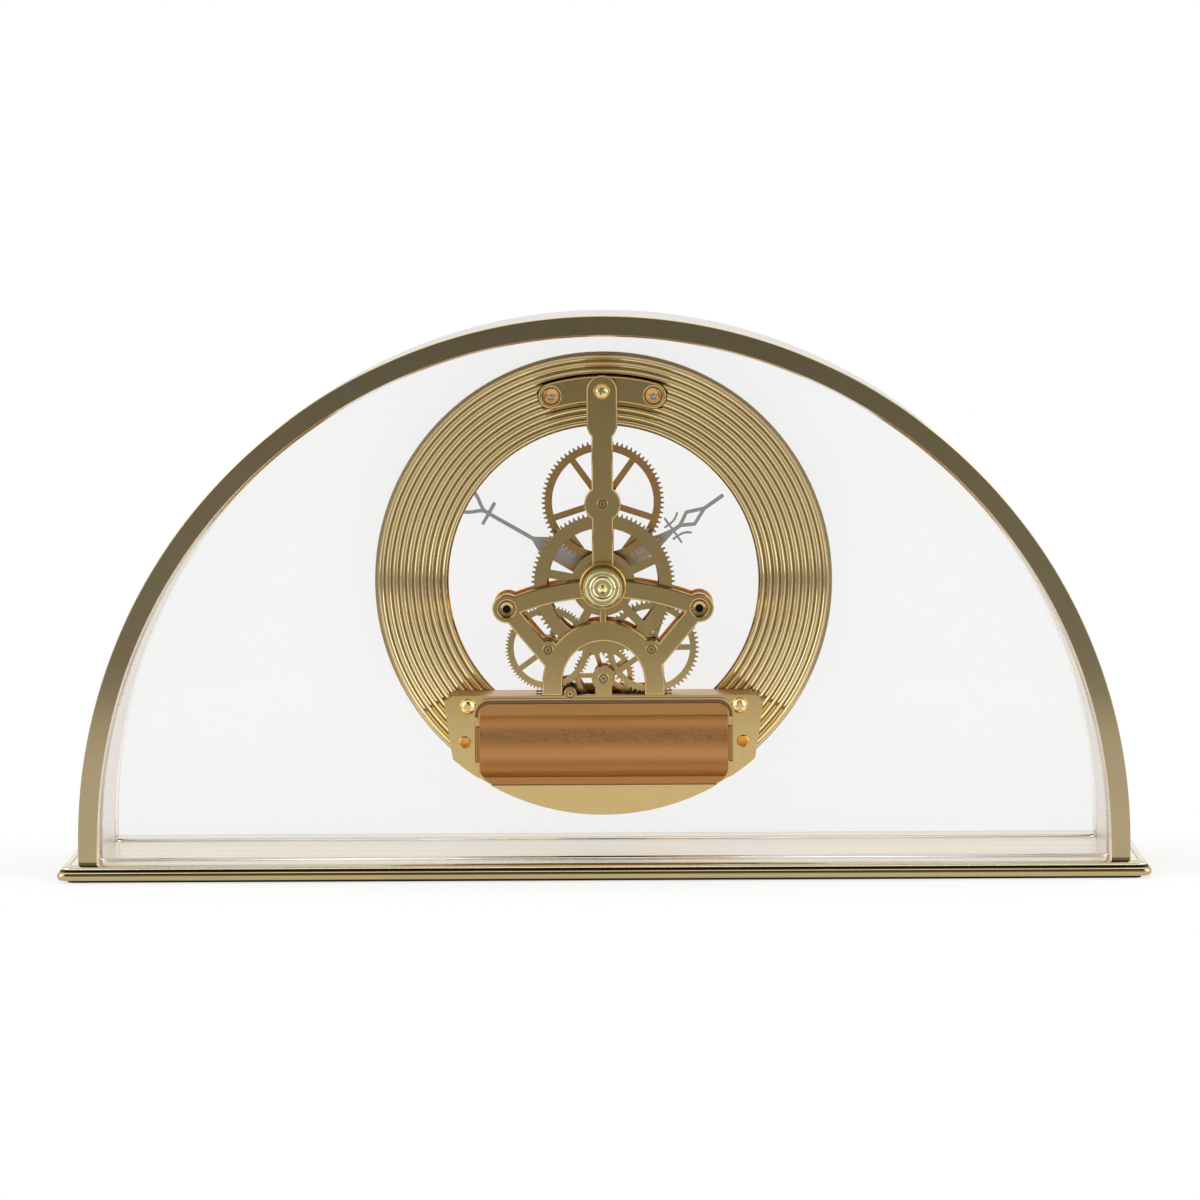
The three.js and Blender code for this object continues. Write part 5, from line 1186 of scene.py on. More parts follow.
class CLOCK_OT_frame(ClockOperator, bpy.types.Operator):
    """Build the rear bridge with its collar, the front plate and the posts between them"""

    bl_idname = "clock.frame"
    bl_label = "Movement frame"

    ARM_RISE = 4.6
    ARM_WIDTH = 4.2
    OPENING = (0.0, -22.8)
    OPENING_RADIUS = 9.6
    BAND = 4.7
    STRUT = 4.0
    STEM_HALF = 0.8
    STEM_FOOT = 0.5
    POST_EYE = 3.4
    POST_HOLE = 1.95
    PIVOT_EYE = 2.4
    PIVOT_HOLE = 0.75

    STRAP_HALF = 2.5
    STRAP_END = 7.2
    STRAP_END_LENGTH = 8
    UPPER_EYE = 4.3
    STRAP_SCREW_HOLE = 1.1
    ARBOR_HOLE = 1.5
    COLLAR = 5.45
    COLLAR_ROUND = 0.25
    COLLAR_END = 16.25
    COLLAR_FOOT = 20.05

    CENTRE_EYE = 4.6
    CENTRE_HOLE = 2.8
    FRONT_STRAP = 5.0
    SILL_HALF = 11.95
    SILL_HEIGHT = 1.6
    COCK_HALF = 1.95
    BOSS = 3.0
    # What the housing takes from the front plate: its half width and how far it reaches down
    CLEARED = (16, 3.8)

    # Radius and setback of a post, from the hole in its rear end; the finish of each row of faces
    PILLAR = (
        *((0, 21.4), (0.95, 21.4), (0.95, 19.8), (1.55, 19.7), (1.7, 19.85), (1.7, 22), (2.7, 22)),
        *((2.9, 22.2), (2.9, 33.25), (2.7, 33.45), (1.7, 33.45), (1.7, 34.8), (1.55, 34.95), (0, 34.95)),
    )
    PILLAR_ROWS = (1,) * 2 + (0,) * 3 + (2,) * 8

    def build(self, scene):
        edge = scene.clock_movement.plate_edge / MM
        self.rear(edge)
        self.front(edge / 2)
        # The holes in the posts' rear ends take the painted shade
        golds = ["plated_gold", "recess", "wheel_gold"]
        for side, post in zip(("right", "left"), POSTS):
            pillar = by_row(turned(self.PILLAR, post, 48), self.PILLAR_ROWS)
            show(f"pillar_{side}", [pillar], golds, "case", "polished_gold", f"post_{side}")

    def fan(self):
        """What both plates share: arms to the posts, struts and a round-topped opening."""
        side, drop = POSTS[1]
        radius = (side**2 + self.ARM_RISE**2) / (2 * self.ARM_RISE)
        half = math.asin(side / radius)
        arm_middle = (0.0, drop + self.ARM_RISE - radius)
        opening, inner, band = self.OPENING, self.OPENING_RADIUS, self.BAND
        shapes = [
            arc_bar(arm_middle, radius, self.ARM_WIDTH, QUARTER - half, QUARTER + half),
            arc_bar(opening, inner + band / 2, band, 0, math.pi),
            rectangle(-self.STEM_HALF, self.STEM_HALF, opening[1] + inner + self.STEM_FOOT, drop),
        ]
        for post in POSTS:
            way = math.copysign(1, post[0])
            near, far = sorted((way * inner, way * (inner + band)))
            shapes.append(circle(post, self.POST_EYE))
            shapes.append(bar(post, (way * (inner + band / 2), opening[1] + band), self.STRUT))
            shapes.append(rectangle(near, far, HOUSING_TOP, opening[1]))
        return shapes + [circle(LEFT, self.PIVOT_EYE), circle(RIGHT, self.PIVOT_EYE)]

    def holes(self, pivots, sides):
        post_holes = [circle(post, self.POST_HOLE, 40) for post in POSTS]
        return [circle(place, self.PIVOT_HOLE, sides) for place in pivots] + post_holes

    def rear(self, edge):
        solids = self.fan() + [
            rectangle(-self.STRAP_HALF, self.STRAP_HALF, 0, RING_MIDDLE),
            bar((0.0, RING_MIDDLE - self.STRAP_END_LENGTH), STRAP_HEAD, self.STRAP_END, 24),
            circle(UPPER, self.UPPER_EYE),
            circle(CENTRE, self.COLLAR),
        ]
        holes = [circle(CENTRE, self.ARBOR_HOLE, 32), circle(STRAP_HEAD, self.STRAP_SCREW_HOLE, 24)]
        holes += self.holes((UPPER, LEFT, RIGHT), 24)
        bend, outer, foot = self.COLLAR_ROUND, self.COLLAR, self.COLLAR_FOOT
        collar = oval((outer - bend, self.COLLAR_END), bend, -bend, sweep(0, 180, 20))
        collar += [(outer - 2 * bend, foot), (outer, foot)]
        forms = [plate(solids, holes, *BRIDGE, edge), turned(collar)]
        # The bridge's walls take the painted reflection of the gold between the plates
        show("rear_frame", forms, ["plated_gold", "edge_gold_reflection"], "case", "plated_gold", "rear_bridge")

    def front(self, edge):
        sill = self.SILL_HALF
        solids = self.fan() + [
            circle(CENTRE, self.CENTRE_EYE),
            bar(CENTRE, UPPER, self.FRONT_STRAP),
            circle(LOWER, self.PIVOT_EYE),
            rectangle(-self.COCK_HALF, self.COCK_HALF, HOUSING_TOP, LOWER[1]),
            rectangle(-sill, sill, HOUSING_TOP, HOUSING_TOP + self.SILL_HEIGHT),
            bar(ROTOR, (sill, ROTOR[1]), self.BOSS),
        ]
        half, depth = self.CLEARED
        holes = self.holes((UPPER, LEFT, RIGHT, LOWER, ROTOR), 20)
        holes.append(circle(CENTRE, self.CENTRE_HOLE, 40))
        holes.append(rectangle(-half, half, HOUSING_TOP - depth, HOUSING_TOP))
        mesh = mesh_of("front_frame", plate(solids, holes, *FRONT_PLATE, edge))
        # The front plate's faces towards the dial keep the plated gold; its rear faces and walls take the
        # painted reflection of the gold between the plates
        paint_front(mesh)
        show("front_frame", mesh, ["edge_gold_reflection", "plated_gold"], "case", "plated_gold", "front_plate")


class CLOCK_OT_wheels(ClockOperator, bpy.types.Operator):
    """Cut the wheels of the train and finish their arbors"""

    bl_idname = "clock.wheels"
    bl_label = "Wheels"

    ADDENDUM = 0.7
    DEDENDUM = 1.4
    SPOKES = 5
    THICKNESS = 1.0
    BRIGHT = ("centre", "right", "left")
    # name: body, teeth, module, place, rear setback, rim, hub, spoke width, first spoke, bore, first tooth
    WHEELS = {
        "centre": ("minute", 90, 0.37, CENTRE, 23.2, 3.0, 7.5, 2.0, math.radians(11), 1.5, QUARTER),
        "left": ("left", 72, 0.275, LEFT, 25.25, 1.4, 2.6, 1.3, math.pi / 5, 1.1, 0.0),
        "right": ("right", 60, 0.3653, RIGHT, 25.25, 1.4, 2.6, 1.3, math.pi / 5, 1.1, 0.0),
        "lower": ("lower", 48, 0.2955, LOWER, 27.3, 1.1, 2.2, 1.1, 0.0, 1.1, 0.0),
        "upper": ("upper", 75, 0.378, UPPER, 29.35, 1.7, 3.0, 1.5, -QUARTER, 1.1, -QUARTER + math.pi / 75),
        "hour": ("hour", 60, 0.504, CENTRE, 31.4, 1.6, 5.0, 2.0, -QUARTER, 1.5, QUARTER),
    }
    # Radius and setback of the hour wheel's pipe
    PIPE = rectangle(1.5, 2.5, 31.4, 36.7)

    def build(self, scene):
        tree = toothed_tree()
        for name, row in self.WHEELS.items():
            body, teeth, module, place, rear, rim, hub, spoke, turn, bore, phase = row
            pitch_radius = teeth * module / 2
            root = pitch_radius - self.DEDENDUM * module
            sizes = {"Root": root, "Tip": pitch_radius + self.ADDENDUM * module, "Rim": root - rim}
            sizes |= {"Hub": hub, "Spoke Width": spoke, "Bore": bore, "Thickness": self.THICKNESS}
            values = {"Teeth": teeth, "Spokes": self.SPOKES, "Phase": phase, "Spoke Turn": turn}
            finish = "plated_gold" if name in self.BRIGHT else "wheel_gold"
            mesh = tree.grow(f"{name}_gear", finish, spot(place, rear), values | in_metres(sizes))
            if name == "hour":
                add_to(mesh, mesh_of("pipe", turned(self.PIPE, CENTRE, 40)))
            slot = "plated_gold" if name == "centre" else "wheel_gold"
            show(f"{name}_gear", mesh, (), body, slot, f"{name}_wheel")
        dress("wheel_gold", *(f"{arbor}_arbor" for arbor in ("minute", "upper", "left", "right", "lower")))
        dress("wheel_gold", "rotor_pinion", "minute_pinion")


class CLOCK_OT_knob(ClockOperator, bpy.types.Operator):
    """Build the fluted setting knob with its cupped end"""

    bl_idname = "clock.knob"
    bl_label = "Setting knob"

    RADIUS = 4.8
    FLUTE_DEPTH = 0.3
    BORE = 1.3
    REAR_END = 9.5
    NOSE_END = 9.75
    SHOULDER = 10.4
    FRONT_END = 19.7
    FACE = 4.35
    # Radius and depth from the rear end: the cup's middle, the groove between its beads and its closed back
    CUP_MIDDLE = ((0, 0.62), (0.45, 0.66), (0.8, 0.85), (1.15, 0.92), (1.5, 0.78), (1.8, 0.45))
    CUP_GROOVE = ((3.2, 0.62), (3.45, 0.66), (3.6, 0.5))
    CUP_BACK = ((4.05, 2), (0, 2))
    # Radius, depth, half width and height of the beads
    INNER_BEAD = (2.5, 0.3, 0.55, 0.3)
    OUTER_BEAD = (3.85, 0.3, 0.2, 0.12)

    def build(self, scene):
        tree, count = toothed_tree(), scene.clock_movement.knob_flutes
        nose = self.flutes(tree, count, self.NOSE_END, self.SHOULDER)
        end = max(v.co.y for v in nose.vertices)
        for v in nose.vertices:
            if v.co.y > end - NEAR:
                widen(v, self.FACE / self.RADIUS)
        cup = [*self.CUP_MIDDLE, *self.bead(*self.INNER_BEAD), *self.CUP_GROOVE]
        cup += [*self.bead(*self.OUTER_BEAD), *self.CUP_BACK]
        cap = mesh_of("cap", turned([(r, self.REAR_END + depth) for r, depth in cup], CENTRE, 96))
        mesh = self.flutes(tree, count, self.SHOULDER, self.FRONT_END)
        add_to(mesh, nose, cap)
        show("fluted_knob", mesh, (), "minute", "ring_gold", "setting_knob")

    def bead(self, radius, depth, half, height):
        return oval((radius, depth), -half, -height, sweep(0, 180, 20))

    def flutes(self, tree, count, rear, front):
        """A fluted cylinder between two setbacks."""
        sizes = {"Root": self.RADIUS - self.FLUTE_DEPTH, "Tip": self.RADIUS}
        sizes |= {"Bore": self.BORE, "Thickness": front - rear}
        values = {"Teeth": count, "Spokes": 0, **in_metres(sizes)}
        return tree.grow("fluted_knob", "knob_gold", spot(CENTRE, rear), values)


class CLOCK_OT_hands(ClockOperator, bpy.types.Operator):
    """Cut the minute and hour hand and their nut"""

    bl_idname = "clock.hands"
    bl_label = "Hands"

    THICKNESS = 0.6
    EDGE = 0.08
    STEM = 1.0
    PRONG = 0.9
    BARB = 0.56

    # How far each hand stands turned from twelve, its bore and its rear setback
    MINUTE = (math.radians(60), 1.5, 38.6)
    HOUR = (math.radians(305), 2.8, 36.15)
    MINUTE_SHORT_OF_RING = 8.0
    HOUR_SHORTER = 11.2
    # The blades as rows of (distance from the arbor, width)
    MINUTE_BLADE = ((0, 4.6), (16.4, 4.2), (19.3, STEM))
    HOUR_BLADE = ((3.3, 4.4), (14, 3.6))
    MINUTE_EYE = 3.0
    HOUR_EYE = 4.0
    # The minute hand's bow, its crossbar and its tip, from the hand's end
    BOW = 2.6
    BOW_FOOT = 14
    BOW_HEAD = 4
    BOW_STEPS = 16
    CROSSBAR_DROP = 0.7
    CROSSBAR_OVERHANG = 0.4
    TIP = 0.3
    # The hour hand's cross from the hand's end, the lozenge over it and the leaves on its arms
    CROSS = 14.6
    CROSS_ARM = 3.4
    LOZENGE = (2.0, 5.0, 9.0)
    LOZENGE_HALF = 1.7
    LEAF = (-1.1, 3.1)
    LEAF_STEPS = 12
    LEAF_FLARE = 0.06
    LEAF_POWER = 2.6
    # Radius and setback of the nut
    NUT = ((1.5, 39.2), (2.3, 39.2), (2.3, 40.2), (1.8, 40.7), (1.5, 40.7))

    def build(self, scene):
        reach = RING_HIGH.x - self.MINUTE_SHORT_OF_RING
        self.hand("minute", self.minute_shapes(reach), *self.MINUTE)
        self.hand("hour", self.hour_shapes(reach - self.HOUR_SHORTER), *self.HOUR)
        nut = turned(self.NUT, CENTRE, 48)
        show("round_nut", [nut], ["plated_gold"], "minute", "polished_gold", "hand_nut")

    def hand(self, name, shapes, turn, bore, rear):
        cosine, sine = math.cos(turn), math.sin(turn)
        shapes = [[(x * cosine + z * sine, z * cosine - x * sine) for x, z in shape] for shape in shapes]
        sheet = plate(shapes, [circle(CENTRE, bore, 40)], rear, rear + self.THICKNESS, self.EDGE)
        mesh = mesh_of(f"pierced_{name}_hand", sheet)
        paint_front(mesh)
        show(f"pierced_{name}_hand", mesh, ["hand_grey", "ink"], name, "hand_grey", f"{name}_hand")

    def blades(self, *rows):
        """Tapered blades from row to row."""
        return [
            [(-wide / 2, low), (wide / 2, low), (narrow / 2, high), (-narrow / 2, high)]
            for (low, wide), (high, narrow) in zip(rows, rows[1:])
        ]

    def stroke(self, line, width):
        return [bar(a, b, width, 6) for a, b in zip(line, line[1:])]

    def minute_shapes(self, reach):
        fork, end = reach - self.BOW_FOOT, reach - self.BOW_HEAD
        neck = self.MINUTE_BLADE[-1][0]
        half, middle = self.BOW + self.CROSSBAR_OVERHANG, fork - self.CROSSBAR_DROP
        shapes = [
            circle(CENTRE, self.MINUTE_EYE),
            *self.blades(*self.MINUTE_BLADE),
            bar((0, neck - self.STEM / 2), (0, fork), self.STEM),
            rectangle(-half, half, middle - self.PRONG / 2, middle + self.PRONG / 2),
            *self.blades((end - self.STEM / 2, self.STEM), (reach, self.TIP)),
        ]
        shares = [i / self.BOW_STEPS for i in range(self.BOW_STEPS + 1)]
        for side in (-1, 1):
            bow = [(side * self.BOW * math.sin(math.pi * s) ** 2, fork + (end - fork) * s) for s in shares]
            shapes += self.stroke(bow, self.PRONG)
        return shapes

    def hour_shapes(self, reach):
        cross = reach - self.CROSS
        start, waist, top = (cross + height for height in self.LOZENGE)
        shapes = [
            circle(CENTRE, self.HOUR_EYE),
            *self.blades(*self.HOUR_BLADE, (cross, self.STEM)),
            bar((0, cross - self.STEM / 2), (0, start), self.STEM),
            bar((0, top), (0, reach - self.STEM / 2), self.STEM),
        ]
        low, high = self.LEAF
        along = [low + (high - low) * i / self.LEAF_STEPS for i in range(self.LEAF_STEPS + 1)]
        half = self.LOZENGE_HALF
        for side in (-1, 1):
            shapes += self.stroke([(0, start), (side * half, waist), (0, top)], self.PRONG)
            shapes.append(bar((0, cross), (side * self.CROSS_ARM, cross), self.BARB))
            wide = [half + self.LEAF_FLARE * max(0, u) ** self.LEAF_POWER for u in along]
            shapes += self.stroke([(side * w, cross + u) for w, u in zip(wide, along)], self.BARB)
        return shapes


class CLOCK_OT_battery(ClockOperator, bpy.types.Operator):
    """Finish the battery housing, its cover, the cell and the motor"""

    bl_idname = "clock.battery"
    bl_label = "Battery and motor"

    EDGE = 0.3
    LEDGE_DEPTH = 4
    FACING_UP = 0.7
    # Half width, top and corner radius of the rim round the cover
    RIM = (30.6, -26.45, 4.0)
    RIM_WIDTH = 0.5
    RIM_LOW = -43.6
    RIM_SHEET = (19.7, 20.05, 0.1)
    REVEAL_WIDTH = 0.75
    REVEAL_LOW = -31
    REVEAL_SHEET = (19.9, 20.05, 0.03)
    OPEN_END = -50
    CHEEK_FOOT = HOUSING_TOP - 2.8
    # The pieces that close the housing beside the motor: middle, half width, top, setbacks and edge
    CHEEKS = (
        (15.6, 1.1, HOUSING_TOP - 0.1, (33.0, 33.9, 0.1)),
        (14.65, 1.45, HOUSING_TOP - 0.05, (26.6, 30.2, 0.1)),
    )
    COVER_SPARE = 0.02
    COVER_EAR = 0.9
    # Radius of the cover's four corners, from the upper right one, counter-clockwise
    COVER_CORNERS = (2.4, 2.4, 3.8, 3.8)
    EARS_HEIGHT = (-42, -32.5)
    TRIM_SHEET = (15, 22, 0.01)
    # Radius and height of the rings on the cell's base, and how far its button stands out
    CELL_BASE = ((0, 0.2), (3.0, 0.2), (3.2, 0), (5.6, 0), (5.8, 0.2), (6.4, 0.2))
    BUTTON = 1.2
    # The motor's coil: bore, cheeks, depth of the wound wire, rise, count and steps of its turns
    COIL_BORE = 1.23
    COIL_CHEEK = 0.5
    WIRE_DEPTH = 0.25
    WIRE_RISE = 0.12
    WIRE_TURNS = 40
    WIRE_STEPS = 6

    def build(self, scene):
        # The housing's top faces and the rim's walls take the painted reflection in red brown
        golds = ["plated_gold", "ledge"]
        extras = {"tone": self.on_ledge, "curve": RING_HIGH.x}
        from_solid("gold_housing", "battery_housing", golds, "case", "ring_gold", self.EDGE, **extras)
        extras = {"trim": self.cover_trim()}
        from_solid("copper_cover", "battery_cover", ["copper"], "cover", "copper_satin", self.EDGE, **extras)
        width = self.RIM_WIDTH
        rim = plate([self.rim(0, self.RIM_LOW)], [self.rim(width, self.OPEN_END)], *self.RIM_SHEET)
        show("cover_rim", [rim], golds, "case", "ring_gold")
        # A painted shadow: a flat dark sheet along the top and down the sides of the cover's opening, where
        # its shade falls
        opening = self.rim(width + self.REVEAL_WIDTH, self.OPEN_END)
        reveal = plate([self.rim(width, self.REVEAL_LOW)], [opening], *self.REVEAL_SHEET, wall=0)
        show("cover_reveal", [reveal], ["reveal"], "case", "copper_satin")
        # The cheeks take the same painted reflection
        cheeks = []
        for middle, half, top, sheet in self.CHEEKS:
            for way in (-1, 1):
                outline = rectangle(way * middle - half, way * middle + half, self.CHEEK_FOOT, top)
                cheeks.append(plate([outline], [], *sheet, wall=0))
        show("housing_cheeks", cheeks, ["ledge"], "case", "ring_gold")
        self.cell()
        self.coil()
        dress("steel", "positive_contact", "negative_contact", "stator")
        dress("rubber", "rotor_magnet")
        dress("board", "circuit_board")

    def on_ledge(self, normal, middle):
        """1 for the faces on top of the housing, which take the painted reflection."""
        lowest = AXIS_HEIGHT + HOUSING_TOP - self.LEDGE_DEPTH
        return int(normal.z > self.FACING_UP and middle.z > lowest)

    def rim(self, inward, low):
        """Round-cornered outline of the raised rim round the cover."""
        side, high, corner = (size - inward for size in self.RIM)
        return round_cornered(-side, side, low, high, (corner, corner, 0, 0), 10)

    def cover_trim(self):
        """Round-cornered outline of the cover with room for its two ears."""
        low, high = node_box("battery_cover")
        side = high.x - self.COVER_EAR + self.COVER_SPARE
        top = high.z - AXIS_HEIGHT + self.COVER_SPARE
        bottom = low.z - AXIS_HEIGHT - self.COVER_SPARE
        outline = round_cornered(-side, side, bottom, top, self.COVER_CORNERS, 12)
        ears = rectangle(-high.x - 1, high.x + 1, *self.EARS_HEIGHT)
        return plate([outline, ears], [], *self.TRIM_SHEET)

    def cell(self):
        """A plain round cell in a sleeve, with bare ends."""
        low, high = node_box("aa_cell")
        radius = (high.z - low.z) / 2
        foot, tip, seat = low.x, high.x, high.x - self.BUTTON
        base = [(r, foot + height) for r, height in self.CELL_BASE]
        sleeve = [(6.5, foot + 0.05), (radius - 0.3, foot + 0.05), (radius, foot + 0.35)]
        sleeve += [(radius, seat - 0.1), (radius - 0.3, seat + 0.2), (6.2, seat + 0.2)]
        button = [(6.1, seat), (2.7, seat), (2.7, tip - 0.25), (2.45, tip), (0, tip)]
        middle = (low.y + high.y) / 2, (low.z + high.z) / 2
        bare = [1] * len(base) + [0] * (len(sleeve) - 1) + [1] * len(button)
        cell = by_row(turned(base + sleeve + button, middle, 64, sideways), bare)
        show("dry_cell", [cell], ["cell", "steel"], "case", "cell_sleeve", "aa_cell")

    def coil(self):
        """Turns of wire side by side on the motor's core, between two cheeks."""
        low, high = node_box("coil")
        middle = (low.y + high.y) / 2, (low.z + high.z) / 2
        radius, bore, cheek, sides = (high.z - low.z) / 2, self.COIL_BORE, self.COIL_CHEEK, 40
        start, end = low.x + cheek, high.x - cheek
        count = self.WIRE_TURNS * self.WIRE_STEPS
        wound = []
        for i in range(count + 1):
            rise = self.WIRE_RISE * abs(math.sin(math.pi * i / self.WIRE_STEPS))
            wound.append((radius - self.WIRE_DEPTH + rise, start + (end - start) * i / count))
        forms = [turned([(bore, start), *wound, (bore, end)], middle, sides, sideways)]
        for x in (low.x, end):
            disc = rectangle(bore, radius, x, x + cheek)
            forms.append(by_row(turned(disc, middle, sides, sideways), [1] * len(disc)))
        show("wound_coil", forms, ["coil", "rubber"], "case", "coil_copper", "coil")


class CLOCK_OT_fasteners(ClockOperator, bpy.types.Operator):
    """Set the cross-head screws, rivets, pivot caps and the painted shade at the pivots"""

    bl_idname = "clock.fasteners"
    bl_label = "Screws and rivets"

    SEED = 7
    SIDES = 32
    HEAD_SEAT = 18.9
    SUNK_SEAT = 31.55
    # Turned forms as (radius, setback from the seat)
    DOME = ((0, 0), (0.5, 0.05), (0.95, 0.18), (1.35, 0.4), (1.65, 0.68), (1.84, 0.95), (1.9, 1.1), (0, 1.1))
    FLOOR = rectangle(0, 1.1, 0.5, 0.6)
    PIN = ((0, 0.3), (0.35, 0.33), (0.6, 0.45), (0.62, 0.8), (0, 0.8))
    DISH = (
        *((0.55, 0.75), (0.55, 0.5), (0.9, 0.42), (1.5, 0.25), (1.8, 0.0)),
        *((2.0, 0.0), (2.1, 0.1), (2.1, 0.9), (0.55, 0.9)),
    )
    RIVET = ((0, -0.4), (0.9, -0.48), (1.2, -0.5), (1.38, -0.4), (1.45, -0.2), (1.45, 0), (0, 0))
    CAP = ((0, -0.1), (0.85, -0.1), (0.95, -0.25), (1.2, -0.25), (1.3, -0.1), (1.3, 0.05), (0, 0.05))
    # Radius and setback of a dark ring and a dark dot at each pivot: painted shade in the gap and the hole
    SHADE_LINE = rectangle(0.8, 0.98, -0.27, -0.1)
    SHADE_DOT = rectangle(0, 0.26, -0.13, 0)
    # Half length and half width of the cross's arms, its setbacks and its edge
    CROSS = (0.95, 0.22)
    CROSS_SHEET = (-1.0, 0.55, 0.02)

    def build(self, scene):
        tree = fastener_tree()
        heads = [(p, self.HEAD_SEAT) for p in (*HOUSING_SCREWS, STRAP_HEAD)]
        sunk = [(p, self.SUNK_SEAT) for p in BRACKET_SCREWS]
        flush = [(p, BRIDGE[0]) for p in RIVETS]
        pivots = [(p, BRIDGE[0]) for p in (UPPER, LEFT, RIGHT, LOWER, ROTOR)]
        head_nodes = ("housing_screw_right", "housing_screw_left", "bridge_screw")
        sunk_nodes = ("bracket_screw_right", "bracket_screw_left")
        rivet_nodes = ("rivet_right", "rivet_left")
        pin, dish, floor, rivet, cap = (
            self.turned_mesh(profile) for profile in (self.PIN, self.DISH, self.FLOOR, self.RIVET, self.CAP)
        )
        ring = mesh_of("form", turned(self.SHADE_LINE, CENTRE, self.SIDES), turned(self.SHADE_DOT, CENTRE, 16))
        # name, form, places, finish, slot, the solids it stands for
        rows = (
            ("cross_screws", self.screw_mesh(), heads, "screw_gold", "polished_gold", head_nodes),
            ("sunk_screws", pin, sunk, "steel", "steel", sunk_nodes),
            ("screw_dishes", dish, sunk, "wheel_gold", "plated_gold", ()),
            ("screw_recesses", floor, heads, "screw_gold", "polished_gold", ()),
            ("rivets", rivet, flush, "rivet_gold", "polished_gold", rivet_nodes),
            # The dark rings and dots at the pivots are painted shade
            ("pivot_rings", ring, pivots, "recess", "black_rubber", ()),
            ("pivot_caps", cap, pivots, "plated_gold", "plated_gold", ()),
        )
        for row in rows:
            self.set_out(tree, *row)

    def set_out(self, tree, name, mesh, places, finish, slot, nodes):
        """Sets a standing form out on places of (x, z) and setback."""
        lay_flat(mesh, 0)
        form = placed("form", mesh)
        spots = bpy.data.meshes.new(name)
        spots.from_pydata([(p[0] * MM, p[1] * MM, setback * MM) for p, setback in places], [], [])
        values = {"Form": form, "Seed": self.SEED}
        show(name, tree.grow(name, finish, spot(CENTRE, 0), values, spots), (), "case", slot, *nodes)
        bpy.data.objects.remove(form)

    def turned_mesh(self, profile):
        return mesh_of("form", turned(profile, CENTRE, self.SIDES))

    def screw_mesh(self):
        """A round head with a cross cut into it, its rear end at the seat's zero."""
        long, short = self.CROSS
        arms = [rectangle(-long, long, -short, short), rectangle(-short, short, -long, long)]
        head = cut(self.turned_mesh(self.DOME), plate(arms, [], *self.CROSS_SHEET), "DIFFERENCE")
        return closed_mesh("form", shell_of(head))


